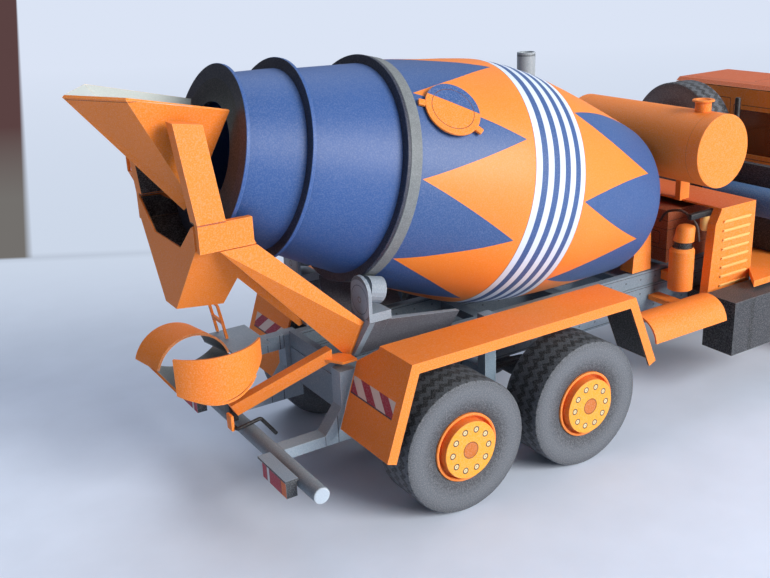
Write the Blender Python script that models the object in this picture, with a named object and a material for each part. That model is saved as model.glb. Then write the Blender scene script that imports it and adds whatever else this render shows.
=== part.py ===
# Card model of a three-axle concrete mixer truck.
# All sizes in the tables are millimetres of the card model; MM turns them into metres.
# x runs forward from the rearmost axle, y to the vehicle's left, z up from the ground.
import bpy
import bmesh
import math
from mathutils import Vector

for old in list(bpy.data.objects):
    bpy.data.objects.remove(old, do_unlink=True)

MM = 0.001
CARD = 0.6          # thickness of every folded sheet
GAP = 0.3           # glue gap left between neighbouring pieces

# Driving sizes
WHEEL_R = 17.5
TYRE_OUT = 40.0     # outer face of the tyres, from the centre line
REAR_TIP = -74.2    # point of the feed hopper's rim
BUMPER_FRONT = 211.0
MID = (REAR_TIP + BUMPER_FRONT) / 2

AXLE_REAR = 0.0
AXLE_MIDDLE = 39.2
AXLE_FRONT = 166.0
TWIN_W = 13.0       # width of the twin tyres, drawn as one
SINGLE_W = 9.5
STUB_R = 1.6        # axle stub inside the wheel
STUB_CLEAR = 0.08

RAIL_OUT = 12.5     # outer face of the chassis rails
RAIL_W = 2.6
RAIL_Z0 = 23.0
RAIL_Z1 = 32.0
SUB_Z1 = 36.6       # top of the mixer's own frame
FRAME_REAR = -20.5
FRAME_FRONT = 205.7
SUB_FRONT = 122.0
DRUM_DROP = 1.8     # the cross members under the drum lie this much lower

# Drum, along its own axis from the mouth flange
DRUM_TILT = 0.2493
DRUM_X = -43.5
DRUM_Z = 90.4
FLANGE_T = 0.9
FLANGE1_R = 20.6
FLANGE2_S = 14.2
FLANGE2_R = 24.2
FLANGE3_S = 36.6
RING_R = 28.4
RING_S0 = FLANGE3_S + FLANGE_T + 0.05
RING_S1 = 40.7
MOUTH_R = 12.0
DRUM_WALL = 0.8
DRUM_SEGS = 48
DRUM_END = 134.8
HUB_END = 136.0     # end of the short shaft that meets the pedestal
DRUM_AXIS = Vector((math.cos(DRUM_TILT), 0, -math.sin(DRUM_TILT)))
DRUM_BASE = Vector((DRUM_X, 0, DRUM_Z))

ORANGE = (0.87, 0.27, 0.04, 1)
BLUE = (0.045, 0.08, 0.27, 1)
GREY = (0.42, 0.50, 0.56, 1)
DARK = (0.06, 0.06, 0.065, 1)
TYRE = (0.12, 0.125, 0.13, 1)
FILM = (0.6, 0.7, 0.75, 1)


def place(v):
    return Vector(((v[0] - MID) * MM, v[1] * MM, v[2] * MM))


def finish(name, bm, colour, pivot=(MID, 0, 0)):
    bmesh.ops.remove_doubles(bm, verts=bm.verts, dist=1e-4)
    bmesh.ops.recalc_face_normals(bm, faces=bm.faces)
    origin = place(pivot)
    for v in bm.verts:
        v.co = place(v.co) - origin
    mesh = bpy.data.meshes.new(name)
    bm.to_mesh(mesh)
    bm.free()
    ob = bpy.data.objects.new(name, mesh)
    ob.location = origin
    bpy.context.scene.collection.objects.link(ob)
    mat = bpy.data.materials.new(name)
    mat.use_nodes = True
    mat.node_tree.nodes["Principled BSDF"].inputs["Base Color"].default_value = colour
    mat.node_tree.nodes["Principled BSDF"].inputs["Roughness"].default_value = 0.7
    mesh.materials.append(mat)
    return ob


def join(ob, other):
    mod = ob.modifiers.new("join", "BOOLEAN")
    mod.operation = "UNION"
    mod.solver = "EXACT"
    mod.object = other
    other.hide_render = True
    other.display_type = "WIRE"


def prism(bm, pts, plane, a, b):
    def at(p, c):
        return {"xz": (p[0], c, p[1]), "xy": (p[0], p[1], c), "yz": (c, p[0], p[1])}[plane]
    low = [bm.verts.new(at(p, a)) for p in pts]
    top = [bm.verts.new(at(p, b)) for p in pts]
    bm.faces.new(low)
    bm.faces.new(top[::-1])
    n = len(pts)
    for i in range(n):
        bm.faces.new((low[i], low[(i + 1) % n], top[(i + 1) % n], top[i]))


def cells(bm, xs, ys, zs, keep):
    nx, ny, nz = len(xs) - 1, len(ys) - 1, len(zs) - 1
    verts = {}

    def vert(i, j, k):
        if (i, j, k) not in verts:
            verts[(i, j, k)] = bm.verts.new((xs[i], ys[j], zs[k]))
        return verts[(i, j, k)]

    def full(i, j, k):
        return 0 <= i < nx and 0 <= j < ny and 0 <= k < nz and bool(keep(i, j, k))

    sides = (((-1, 0, 0), ((0, 0, 0), (0, 0, 1), (0, 1, 1), (0, 1, 0))),
             ((1, 0, 0), ((1, 0, 0), (1, 1, 0), (1, 1, 1), (1, 0, 1))),
             ((0, -1, 0), ((0, 0, 0), (1, 0, 0), (1, 0, 1), (0, 0, 1))),
             ((0, 1, 0), ((0, 1, 0), (0, 1, 1), (1, 1, 1), (1, 1, 0))),
             ((0, 0, -1), ((0, 0, 0), (0, 1, 0), (1, 1, 0), (1, 0, 0))),
             ((0, 0, 1), ((0, 0, 1), (1, 0, 1), (1, 1, 1), (0, 1, 1))))
    for i in range(nx):
        for j in range(ny):
            for k in range(nz):
                if not full(i, j, k):
                    continue
                for d, corners in sides:
                    if not full(i + d[0], j + d[1], k + d[2]):
                        bm.faces.new([vert(i + c[0], j + c[1], k + c[2]) for c in corners])
    return list(verts.values())


def box(bm, x0, x1, y0, y1, z0, z1):
    return cells(bm, (x0, x1), (y0, y1), (z0, z1), lambda i, j, k: True)


def lathe(bm, prof, base, axis, segs, closed=False):
    axis = Vector(axis).normalized()
    side = Vector((0, 1, 0)) if abs(axis.y) < 0.9 else Vector((0, 0, 1))
    u = (side - axis * side.dot(axis)).normalized()
    w = axis.cross(u)
    rings = []
    for s, r in prof:
        c = Vector(base) + axis * s
        if r < 1e-6:
            rings.append([bm.verts.new(c)])
        else:
            rings.append([bm.verts.new(c + (u * math.cos(a) + w * math.sin(a)) * r)
                          for a in (2 * math.pi * i / segs for i in range(segs))])
    pairs = list(zip(rings, rings[1:]))
    if closed:
        pairs.append((rings[-1], rings[0]))
    for p, q in pairs:
        if len(p) == 1 and len(q) == 1:
            continue
        for i in range(segs):
            j = (i + 1) % segs
            if len(p) == 1:
                bm.faces.new((p[0], q[i], q[j]))
            elif len(q) == 1:
                bm.faces.new((p[j], p[i], q[0]))
            else:
                bm.faces.new((p[i], q[i], q[j], p[j]))


def rod(bm, path, r, segs=8):
    pts = [Vector(p) for p in path]
    rings = []
    for i, p in enumerate(pts):
        d1 = (pts[i] - pts[i - 1]).normalized() if i else (pts[1] - pts[0]).normalized()
        d2 = (pts[i + 1] - pts[i]).normalized() if i + 1 < len(pts) else d1
        t = (d1 + d2).normalized()
        side = Vector((0, 0, 1)) if abs(t.z) < 0.9 else Vector((1, 0, 0))
        u = t.cross(side).normalized()
        w = u.cross(t)
        grow = 1 / max(0.5, t.dot(d1))
        rings.append([bm.verts.new(p + (u * math.cos(a) * grow + w * math.sin(a)) * r)
                      for a in (2 * math.pi * k / segs for k in range(segs))])
    for p, q in zip(rings, rings[1:]):
        for k in range(segs):
            bm.faces.new((p[k], p[(k + 1) % segs], q[(k + 1) % segs], q[k]))
    bm.faces.new(rings[0][::-1])
    bm.faces.new(rings[-1])


def hull(bm, pts):
    verts = [bm.verts.new(p) for p in pts]
    out = bmesh.ops.convex_hull(bm, input=verts)
    bmesh.ops.delete(bm, geom=out["geom_interior"] + out["geom_unused"], context="VERTS")


def band(bm, inner, outer, plane, a, b):
    prism(bm, inner + outer[::-1], plane, a, b)


def sheet(name, verts, faces, colour, side=-1, thick=CARD):
    bm = bmesh.new()
    vs = [bm.verts.new(v) for v in verts]
    for f in faces:
        bm.faces.new([vs[i] for i in f])
    ob = finish(name, bm, colour)
    mod = ob.modifiers.new("card", "SOLIDIFY")
    mod.thickness = thick * MM
    mod.offset = side
    mod.use_even_offset = True


def drum_point(s, r, deg):
    a = math.radians(deg)
    up = Vector((math.sin(DRUM_TILT), 0, math.cos(DRUM_TILT)))
    return DRUM_BASE + DRUM_AXIS * s + (up * math.cos(a) + Vector((0, -1, 0)) * math.sin(a)) * r


# Chassis: two rails and their cross members, one flat ladder
bm = bmesh.new()
xs = [FRAME_REAR, -17.5, 17.6, 21.6, 62, 66, 104, 108, 146, 150, 198, 201, 203, FRAME_FRONT]
ys = [-RAIL_OUT, -RAIL_OUT + RAIL_W, RAIL_OUT - RAIL_W, RAIL_OUT]
cells(bm, xs, ys, [RAIL_Z0, RAIL_Z1], lambda i, j, k: j != 1 or (i % 2 == 0 and i < 12))
finish("chassis_frame", bm, GREY)

# Mixer's own frame on top of the rails
bm = bmesh.new()
xs = [FRAME_REAR, -18.5, 28, 31, 82, 93.5, SUB_FRONT - 2, SUB_FRONT]
cells(bm, xs, ys, [RAIL_Z1 + GAP, SUB_Z1 - DRUM_DROP, SUB_Z1],
      lambda i, j, k: j != 1 or (i % 2 == 0 and (k == 0 or i in (0, 6))))
finish("mixer_frame", bm, GREY)

# Axles with their differentials
AXLES = [
    # name, x, tyre width, differential radius
    ("rear", AXLE_REAR, TWIN_W, 5.2),
    ("middle", AXLE_MIDDLE, TWIN_W, 5.2),
    ("front", AXLE_FRONT, SINGLE_W, 4.4),
]
for name, x, width, diff in AXLES:
    inner = TYRE_OUT - width
    bm = bmesh.new()
    half = [(0, diff), (2.5, diff * 0.9), (4.5, 2.6), (inner - 1.0, 2.2), (inner - 1.0, STUB_R),
            (TYRE_OUT - 3.2, STUB_R), (TYRE_OUT - 3.2, 0)]
    prof = [(-s, r) for s, r in half[::-1]] + half[1:]
    lathe(bm, prof, (x, 0, WHEEL_R), (0, 1, 0), 16)
    finish("axle_" + name, bm, GREY)

# Wheels: tyre, recess, hub drum and hub plate in one turned piece
RIM_R = 9.1
HUB_R = 7.5
HUB_OUT = 1.5
RECESS = 1.6
for name, x, width, diff in AXLES:
    for tag, s in (("left", 1), ("right", -1)):
        bm = bmesh.new()
        inner = TYRE_OUT - width
        prof = [(inner, 10.5), (inner, WHEEL_R - 1.0), (inner + 0.8, WHEEL_R),
                (TYRE_OUT - 0.8, WHEEL_R), (TYRE_OUT, WHEEL_R - 0.9), (TYRE_OUT, RIM_R),
                (TYRE_OUT - RECESS, RIM_R - 0.3), (TYRE_OUT - RECESS, HUB_R),
                (TYRE_OUT + HUB_OUT, HUB_R), (TYRE_OUT + HUB_OUT, 0), (TYRE_OUT - 2.6, 0),
                (TYRE_OUT - 2.6, STUB_R + STUB_CLEAR), (inner + 1.6, STUB_R + STUB_CLEAR),
                (inner + 1.6, 10.5)]
        lathe(bm, prof, (x, 0, WHEEL_R), (0, s, 0), 32, closed=True)
        finish("wheel_%s_%s" % (name, tag), bm, TYRE, (x, 0, WHEEL_R))

# Leaf springs: the rear pair spans both rear axles, the front ones sit over the front axle
SPRINGS = [
    # name, x centre, half length, thick middle, underside z
    ("bogie", (AXLE_REAR + AXLE_MIDDLE) / 2, (AXLE_MIDDLE - AXLE_REAR) / 2 + 3.0, 3.2, 20.0),
    ("front", AXLE_FRONT, 20.0, 2.2, 20.3),
]
for name, x, length, thick, z0 in SPRINGS:
    for tag, s in (("left", 1), ("right", -1)):
        bm = bmesh.new()
        y = sorted((s * (RAIL_OUT - RAIL_W), s * RAIL_OUT))
        if name == "bogie":
            pts = [(x - length, z0), (x + length, z0), (x + length, z0 + 0.8), (x + 4, RAIL_Z0 - GAP),
                   (x - 4, RAIL_Z0 - GAP), (x - length, z0 + 0.8)]
        else:
            pts = [(x - 4, z0), (x + 4, z0), (x + length, RAIL_Z0 - 1.2), (x + length, RAIL_Z0 - GAP),
                   (x - length, RAIL_Z0 - GAP), (x - length, RAIL_Z0 - 1.2)]
        prism(bm, pts, "xz", y[0], y[1])
        finish("spring_%s_%s" % (name, tag), bm, GREY)

# Propeller shafts under the cross members
bm = bmesh.new()
lathe(bm, [(AXLE_MIDDLE + 6.0, 0), (AXLE_MIDDLE + 6.0, 1.4), (AXLE_FRONT - 30, 1.4), (AXLE_FRONT - 30, 0)],
      (0, 0, WHEEL_R + 0.5), (1, 0, 0), 16)
finish("prop_shaft", bm, GREY)

# Underrun guard: an arm and upright each side, with a round tube across
ARM_Y0, ARM_Y1 = 13.0, 17.3
TUBE_X, TUBE_Z, TUBE_R, TUBE_Y = -40.7, 19.0, 2.05, 40.6
ARM_Z1 = TUBE_Z + 0.4
UP_X0, UP_X1 = FRAME_REAR - 1.3, FRAME_REAR + 3.2
for tag, s in (("left", 1), ("right", -1)):
    bm = bmesh.new()
    tip = TUBE_X + TUBE_R + GAP
    pts = [(tip, ARM_Z1 - 2.8), (UP_X1, ARM_Z1 - 2.8), (UP_X1, SUB_Z1 - 1.2), (UP_X0, SUB_Z1 - 1.2),
           (UP_X0, ARM_Z1 + 6.5), (UP_X0 - 5.0, ARM_Z1), (tip, ARM_Z1)]
    y = sorted((s * ARM_Y0, s * ARM_Y1))
    prism(bm, pts, "xz", y[0], y[1])
    finish("underrun_arm_" + tag, bm, GREY)
bm = bmesh.new()
lathe(bm, [(-TUBE_Y, 0), (-TUBE_Y, TUBE_R), (TUBE_Y, TUBE_R), (TUBE_Y, 0)],
      (TUBE_X, 0, TUBE_Z), (0, 1, 0), 24)
finish("underrun_tube", bm, GREY)

# Tail lamps: box with a thin hood
LAMP_X0, LAMP_X1, LAMP_Z0, LAMP_Z1 = -45.8, TUBE_X - TUBE_R - GAP, 16.2, 20.7
LAMP_Y0, LAMP_Y1 = 20.5, 32.9
for tag, s in (("left", 1), ("right", -1)):
    bm = bmesh.new()
    xs = [LAMP_X0 - 0.5, LAMP_X0, LAMP_X1]
    ys = sorted(s * v for v in (LAMP_Y0 - 1.2, LAMP_Y0, LAMP_Y1, LAMP_Y1 + 1.0))
    cells(bm, xs, ys, [LAMP_Z0, LAMP_Z1, LAMP_Z1 + CARD],
          lambda i, j, k: k == 1 or (i == 1 and j == 1))
    finish("tail_lamp_" + tag, bm, GREY)

# Rear mudguards: folded top with a lip, wider rear flap
MUD_TOP, MUD_OUT, MUD_IN, MUD_LIP = 43.7, 40.0, 26.0, 2.6
MUD_PATH = [(-23.0, 20.6), (-15.2, MUD_TOP), (55.8, MUD_TOP), (64.6, 23.3)]
FLAP_IN = 18.1


def offset_path(path, d):
    out = []
    for i, p in enumerate(path):
        p = Vector(p)
        dirs = []
        if i:
            dirs.append((p - Vector(path[i - 1])).normalized())
        if i + 1 < len(path):
            dirs.append((Vector(path[i + 1]) - p).normalized())
        norms = [Vector((q.y, -q.x)) for q in dirs]
        n = sum(norms, Vector((0, 0))).normalized()
        out.append(tuple(p + n * (d / n.dot(norms[0]))))
    return out


for tag, s in (("left", 1), ("right", -1)):
    bm = bmesh.new()
    section = [(MUD_OUT, 0), (MUD_IN, 0), (MUD_IN, CARD), (MUD_OUT - CARD, CARD),
               (MUD_OUT - CARD, MUD_LIP), (MUD_OUT, MUD_LIP)]
    rows = []
    for yy, d in section:
        rows.append([bm.verts.new((x, s * yy, z)) for x, z in offset_path(MUD_PATH, d)])
    n = len(section)
    for i in range(n):
        for k in range(len(MUD_PATH) - 1):
            bm.faces.new((rows[i][k], rows[i][k + 1], rows[(i + 1) % n][k + 1], rows[(i + 1) % n][k]))
    bm.faces.new([rows[i][0] for i in range(n)])
    bm.faces.new([rows[i][-1] for i in range(n)])
    guard = finish("mudguard_" + tag, bm, ORANGE)
    bm = bmesh.new()
    low, top = Vector(MUD_PATH[0]), Vector(MUD_PATH[1])
    drop = (top - low).normalized()
    inw = Vector((drop.y, -drop.x)) * CARD
    brk = low + (top - low) * 0.74
    end = top - drop * 0.8
    wide = [(MUD_IN + 2.0, low), (FLAP_IN, low), (FLAP_IN, brk), (MUD_IN, end), (MUD_IN + 2.0, end)]
    a = [bm.verts.new((p.x, s * yy, p.y)) for yy, p in wide]
    b = [bm.verts.new((p.x + inw.x, s * yy, p.y + inw.y)) for yy, p in wide]
    bm.faces.new(a)
    bm.faces.new(b[::-1])
    for i in range(5):
        bm.faces.new((a[i], a[(i + 1) % 5], b[(i + 1) % 5], b[i]))
    ext = finish("flap_%s_cutter" % tag, bm, ORANGE)
    join(guard, ext)

# Roller brackets under the drum's ring, with the long wedge that runs forward
ROLL_DEG = 35.0
ROLL_R = 3.3
FOOT_Z = SUB_Z1 + 2 * GAP
for tag, s in (("left", 1), ("right", -1)):
    mid = drum_point((RING_S0 + RING_S1) / 2, RING_R + 0.35 + ROLL_R, 180 - ROLL_DEG)
    cy, cz = abs(mid.y), mid.z
    head = ROLL_R + 0.9
    bm = bmesh.new()
    arc = [(cy + head * math.cos(math.radians(a)), cz + head * math.sin(math.radians(a)))
           for a in range(0, 181, 20)]
    foot = [(cy - head, 48.0), (11.0, FOOT_Z), (14.0, FOOT_Z), (cy + head, 48.5)]
    pts = [(s * y, z) for y, z in arc + foot]
    front = [(s * y, z) for y, z in [(cy + head, cz - 4.6), (cy - head, cz - 4.6)] + foot]
    prism(bm, pts, "yz", mid.x - 3.6, mid.x - 2.7)
    back = finish("roller_bracket_" + tag, bm, GREY)
    bm = bmesh.new()
    prism(bm, front, "yz", mid.x - 3.0, mid.x + 2.6)
    core = finish("bracket_core_%s_cutter" % tag, bm, GREY)
    join(back, core)
    bm = bmesh.new()
    hull(bm, [(mid.x + 2.0, s * (cy + head), 48.4), (mid.x + 2.0, s * (cy + head - 2), 48.4),
              (mid.x + 2.0, s * 14.0, FOOT_Z + 0.1), (mid.x + 2.0, s * 11.0, FOOT_Z + 0.1),
              (15.0, s * 17.0, 43.0), (15.0, s * 15.4, 43.0),
              (15.0, s * 13.0, FOOT_Z + 0.1), (15.0, s * 11.0, FOOT_Z + 0.1)])
    wedge = finish("bracket_wedge_%s_cutter" % tag, bm, GREY)
    join(back, wedge)
    bm = bmesh.new()
    along = [(-2.1, 0), (-2.1, ROLL_R), (2.1, ROLL_R), (2.1, 0)]
    lathe(bm, along, (mid.x, s * cy, mid.z), DRUM_AXIS, 20)
    join(back, finish("bracket_roller_%s_cutter" % tag, bm, GREY))

# Drum pedestal at the front of the mixer's frame
PED_TOP, PED_FRONT = 61.0, 91.4
z0 = SUB_Z1 + GAP
bm = bmesh.new()
prism(bm, [(-12, z0), (-7, z0), (-5, 47), (5, 47), (7, z0), (12, z0), (8, PED_TOP), (-8, PED_TOP)],
      "yz", 0, 1)
for v in bm.verts:
    up = (v.co.z - DRUM_Z + (HUB_END + GAP) * math.sin(DRUM_TILT)) / math.cos(DRUM_TILT)
    rear = DRUM_X + (HUB_END + GAP) * math.cos(DRUM_TILT) + up * math.sin(DRUM_TILT)
    v.co.x = rear + (PED_FRONT + (v.co.z - z0) * 0.12 - rear) * v.co.x
finish("drum_pedestal", bm, ORANGE)

# Drum shell with its two free flanges, closed at the front
BODY = [
    # distance along the axis, radius
    (RING_S1 + 0.05, 27.7), (55, 30.0), (71.6, 32.7), (80, 32.6), (90, 31.5), (98, 29.9), (106, 28.2),
    (114, 26.2), (121, 24.5), (126, 23.2), (129.5, 22.0), (132.2, 19.6), (133.9, 15.0),
    (DRUM_END, 5.0), (DRUM_END, 3.0), (HUB_END, 3.0),
]
CONE1 = ((FLANGE_T, 18.4), (FLANGE2_S, 21.6))
CONE2 = ((FLANGE2_S + FLANGE_T, 21.4), (FLANGE3_S, 26.2))
bm = bmesh.new()
outer = [(0, MOUTH_R), (0, FLANGE1_R), (FLANGE_T, FLANGE1_R), CONE1[0], CONE1[1],
         (FLANGE2_S, FLANGE2_R), (FLANGE2_S + FLANGE_T, FLANGE2_R), CONE2[0], CONE2[1],
         (FLANGE3_S, RING_R), (FLANGE3_S + FLANGE_T, RING_R), (FLANGE3_S + FLANGE_T, 27.0),
         (RING_S1 + 0.05, 27.0)] + BODY
inner = [(s, r - DRUM_WALL) for s, r in (BODY[0], BODY[2], BODY[4], BODY[7], BODY[9])]
inner = [(0.9, MOUTH_R), (0.9, CONE1[0][1] - DRUM_WALL), (FLANGE2_S, CONE1[1][1] - DRUM_WALL),
         (FLANGE3_S, CONE2[1][1] - DRUM_WALL)] + inner + [(131.0, 18.0), (132.6, 12.0), (133.4, 0)]
prof = [(HUB_END, 0)] + outer[::-1] + inner
lathe(bm, prof, DRUM_BASE, DRUM_AXIS, DRUM_SEGS)
finish("drum_shell", bm, BLUE, tuple(DRUM_BASE))

bm = bmesh.new()
lathe(bm, [(RING_S0, 27.1), (RING_S0, RING_R), (RING_S1, RING_R), (RING_S1, 27.1)],
      DRUM_BASE, DRUM_AXIS, DRUM_SEGS, closed=True)
finish("drum_ring", bm, GREY, tuple(DRUM_BASE))

# Manhole cover on the drum
MAN_S, MAN_DEG, MAN_R = 50.2, 49.8, 7.2
top = drum_point(MAN_S, 0, MAN_DEG)
out = (drum_point(MAN_S, 1, MAN_DEG) - top).normalized()
slope = (30.0 - 27.7) / (55 - RING_S1)
nrm = (out - DRUM_AXIS * slope).normalized()
foot = top + out * 28.9
bm = bmesh.new()
lathe(bm, [(0.75, 0), (0.75, MAN_R), (1.3, MAN_R), (1.3, 0)], foot, nrm, 32)
finish("manhole_cover", bm, ORANGE, tuple(DRUM_BASE))

# Feed hopper: five-sided rim running down to a spout
HOP_X1, HOP_Y1, HOP_Z1 = -65.5, 15.2, 106.8
HOP_X2, HOP_Y2, HOP_Z2 = -41.8, 11.4, 101.4
SPOUT = [(-50.6, 0, 78.2), (-49.4, 3.0, 80.4), (-49.4, -3.0, 80.4)]
hop = [(REAR_TIP, 0, HOP_Z1), (HOP_X1, HOP_Y1, HOP_Z1), (HOP_X2, HOP_Y2, HOP_Z2), SPOUT[1],
       SPOUT[0], SPOUT[2], (HOP_X2, -HOP_Y2, HOP_Z2), (HOP_X1, -HOP_Y1, HOP_Z1)]
sheet("feed_hopper", hop, [(0, 1, 3, 4), (1, 2, 3), (0, 4, 5, 7), (7, 5, 6)], ORANGE, side=1)

# Discharge funnel: flat back with an opening, slanted cheeks and a front wall
FUN_BACK = -56.3        # the back's lower edge
FUN_X0 = -55.4
FUN_Y = 17.6
FUN_Z1 = 79.0
fun = []
for s in (1, -1):
    fun += [(FUN_BACK, s * 3.5, 56.2), (FUN_X0, s * 8.3, 72.1), (FUN_X0, s * 16.2, FUN_Z1 - 0.6),
            (FUN_X0, s * FUN_Y, FUN_Z1), (FUN_X0, s * FUN_Y, 73.4), (-44.6, s * 3.5, 54.9),
            (-41.0, s * FUN_Y, 72.6), (-50.0, s * FUN_Y, FUN_Z1 - 0.4), (-42.0, s * 12.0, 66.5)]
faces = [(0, 1, 10, 9), (5, 8, 17, 14)]
for k in (0, 9):
    faces += [tuple(v + k for v in f) for f in ((0, 4, 1), (1, 4, 2), (2, 4, 3), (0, 5, 6, 4),
                                                (4, 6, 7), (4, 7, 3), (5, 8, 6))]
sheet("discharge_funnel", fun, faces, ORANGE, side=-1)


def hopper_side(x, z):
    a, b, c = Vector((HOP_X1, HOP_Y1, HOP_Z1)), Vector((HOP_X2, HOP_Y2, HOP_Z2)), Vector(SPOUT[1])
    n = (b - a).cross(c - a)
    return a.y - (n.x * (x - a.x) + n.z * (z - a.z)) / n.y


# Hopper legs with the short blocks at their feet
LEG_X0, LEG_X1, LEG_Z0, LEG_Z1, LEG_TOP = FUN_X0 + GAP, -48.5, 73.1, FUN_Z1 + 0.4, 101.0
for tag, s in (("left", 1), ("right", -1)):
    bm = bmesh.new()
    ys = sorted(s * v for v in (FUN_Y - 1.9, FUN_Y + GAP, FUN_Y + 2.0))
    outer = 1 if s > 0 else 0
    vs = cells(bm, [LEG_X0, LEG_X1, -42.3], ys, [LEG_Z0, LEG_Z1, LEG_TOP],
               lambda i, j, k: (k == 0 and j == outer) or (k == 1 and i == 0))
    for v in vs:
        if v.co.z > LEG_Z1 + 1:
            v.co.x -= 2.4
            v.co.z -= 0.16 * (v.co.x - LEG_X0)
            v.co.y -= s * 1.6
    leg = finish("hopper_leg_" + tag, bm, ORANGE)
    bm = bmesh.new()
    tab = []
    for x in (-54.6, -52.2):
        for z in (96.6, 99.4):
            tab += [(x, s * (FUN_Y - 2.6), z), (x, s * (hopper_side(x, z) + CARD * 1.1 + GAP), z)]
    hull(bm, tab)
    join(leg, finish("hopper_tab_%s_cutter" % tag, bm, ORANGE))

# Diagonal braces from the blocks to the roller brackets
for tag, s in (("left", 1), ("right", -1)):
    bm = bmesh.new()
    t = LEG_Z0 - GAP
    hull(bm, [(-50.4, s * 19.4, t), (-41.6, s * 19.4, t), (-41.6, s * 18.0, t), (-50.4, s * 18.0, t),
              (-17.0, s * 20.2, 47.6), (-15.8, s * 20.2, 48.2),
              (-15.8, s * 13.2, 37.4), (-17.0, s * 13.2, 36.8)])
    finish("brace_" + tag, bm, ORANGE)

# Lower strut from the frame to the chute pivot, with its plate
bm = bmesh.new()
hull(bm, [(-22.4, -15.0, 41.0), (-22.4, -12.0, 41.0), (-22.4, -15.0, 37.8), (-22.4, -12.0, 37.8),
          (-45.2, -2.9, 27.4), (-45.2, -0.1, 27.4), (-43.6, -2.9, 24.4), (-43.6, -0.1, 24.4)])
strut = finish("chute_strut", bm, ORANGE)
bm = bmesh.new()
prism(bm, [(-25.0, -12.6), (-19.2, -12.6), (-17.4, -15.4), (-17.4, -18.6), (-21.5, -18.6)], "xy", 37.9, 38.5)
join(strut, finish("strut_plate_cutter", bm, ORANGE))

# Chute pivot on the guard tube, with its crank handle
PIV_X, PIV_Y = -43.4, 1.8
bm = bmesh.new()
box(bm, PIV_X - 1.2, PIV_X + 1.2, PIV_Y - 1.6, PIV_Y + 1.6, TUBE_Z + TUBE_R + GAP, 31.2)
finish("chute_pivot", bm, DARK)
bm = bmesh.new()
rod(bm, [(-44.4, -3.7, 25.4), (-45.0, -5.0, 21.9), (-38.5, -5.0, 23.0), (-34.6, -5.0, 17.5)], 0.5)
finish("crank_handle", bm, DARK)

# Delivery chute: shallow trough with its curved end wall
TR_X, TR_HALF, TR_Z, TR_DEPTH = -49.4, 9.9, 36.0, 5.4
TR_Y0, TR_Y1 = -7.6, 17.3


def arc_pts(cx, cz, half, rise, n, grow=0.0):
    rad = (half * half + rise * rise) / (2 * abs(rise))
    ang = math.asin(min(1.0, half / rad))
    if abs(rise) > half:
        ang = math.pi - ang
    mid = cz + rise - math.copysign(rad, rise)
    rr = rad + grow
    turns = [ang * (2 * i / n - 1) for i in range(n + 1)]
    return [(cx + rr * math.sin(a), mid + math.copysign(1, rise) * rr * math.cos(a)) for a in turns]


bm = bmesh.new()
band(bm, arc_pts(TR_X, TR_Z, TR_HALF, -TR_DEPTH, 16, -CARD), arc_pts(TR_X, TR_Z, TR_HALF, -TR_DEPTH, 16),
     "xz", TR_Y0, TR_Y1)
trough = finish("chute_trough", bm, ORANGE, (PIV_X, PIV_Y, 0))
bm = bmesh.new()
COL_X, COL_Y, COL_HALF, COL_BOW, COL_Z0, COL_Z1, COL_RISE = -48.1, -5.3, 11.3, 5.6, 31.4, 44.7, 0.031
outline = arc_pts(COL_X, COL_Y, COL_HALF, -COL_BOW, 16)
inset = arc_pts(COL_X, COL_Y, COL_HALF, -COL_BOW, 16, -CARD)
band(bm, inset, outline, "xy", COL_Z0, COL_Z1)
for v in bm.verts:
    if v.co.z < COL_Z0 + 1:
        v.co.z += COL_RISE * (v.co.x - COL_X) ** 2
join(trough, finish("chute_collar_cutter", bm, ORANGE, (PIV_X, PIV_Y, 0)))
bm = bmesh.new()
EXT_Z, EXT_HALF, EXT_RISE, EXT_Y0 = TR_Z + 0.8, 9.7, 7.4, 8.4
band(bm, arc_pts(TR_X, EXT_Z, EXT_HALF, EXT_RISE, 18, -CARD), arc_pts(TR_X, EXT_Z, EXT_HALF, EXT_RISE, 18),
     "xz", EXT_Y0, TR_Y1)
finish("chute_extension", bm, ORANGE, (PIV_X, PIV_Y, 0))

# Platform at the left rear, its beam and the ladder
LAD_Y0, LAD_Y1, RAIL_T = 18.3, 25.4, 0.7
LAD_NARROW, LAD_TAPER = 1.75, (45.5, 66.0)   # it narrows on its inner side between these heights
LAD_PATH = [(36.3, -36.0), (45.5, -37.6), (84.0, -54.5), (95.6, -54.5)]
RUNGS = 11
bm = bmesh.new()
box(bm, -38.4, -27.7, 9.4, LAD_Y1 + 0.4, LAD_PATH[0][0] - GAP - 0.7, LAD_PATH[0][0] - GAP)
platform = finish("platform", bm, GREY)
bm = bmesh.new()
box(bm, -31.2, UP_X0 - GAP, 13.0, 16.2, 31.6, LAD_PATH[0][0] - GAP - 0.3)
join(platform, finish("platform_beam_cutter", bm, GREY))
step = (LAD_PATH[-1][0] - LAD_PATH[0][0]) / (5 * RUNGS + 1)
zs = [LAD_PATH[0][0]]
for i in range(RUNGS):
    zs += [zs[-1] + step * 4, zs[-1] + step * 5]
zs.append(LAD_PATH[-1][0])
bm = bmesh.new()
vs = cells(bm, [-RAIL_T / 2, RAIL_T / 2], [LAD_Y0, LAD_Y0 + RAIL_T, LAD_Y1 - RAIL_T, LAD_Y1], zs,
           lambda i, j, k: j != 1 or k % 2 == 1)
for v in vs:
    if v.co.y < LAD_Y0 + RAIL_T + 0.1:
        part = (v.co.z - LAD_TAPER[0]) / (LAD_TAPER[1] - LAD_TAPER[0])
        v.co.y += LAD_NARROW * min(1, max(0, part))
    for (z0, x0), (z1, x1) in zip(LAD_PATH, LAD_PATH[1:]):
        if z0 - 1e-6 <= v.co.z <= z1 + 1e-6:
            v.co.x += x0 + (x1 - x0) * (v.co.z - z0) / (z1 - z0)
            break
finish("ladder", bm, ORANGE)

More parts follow.
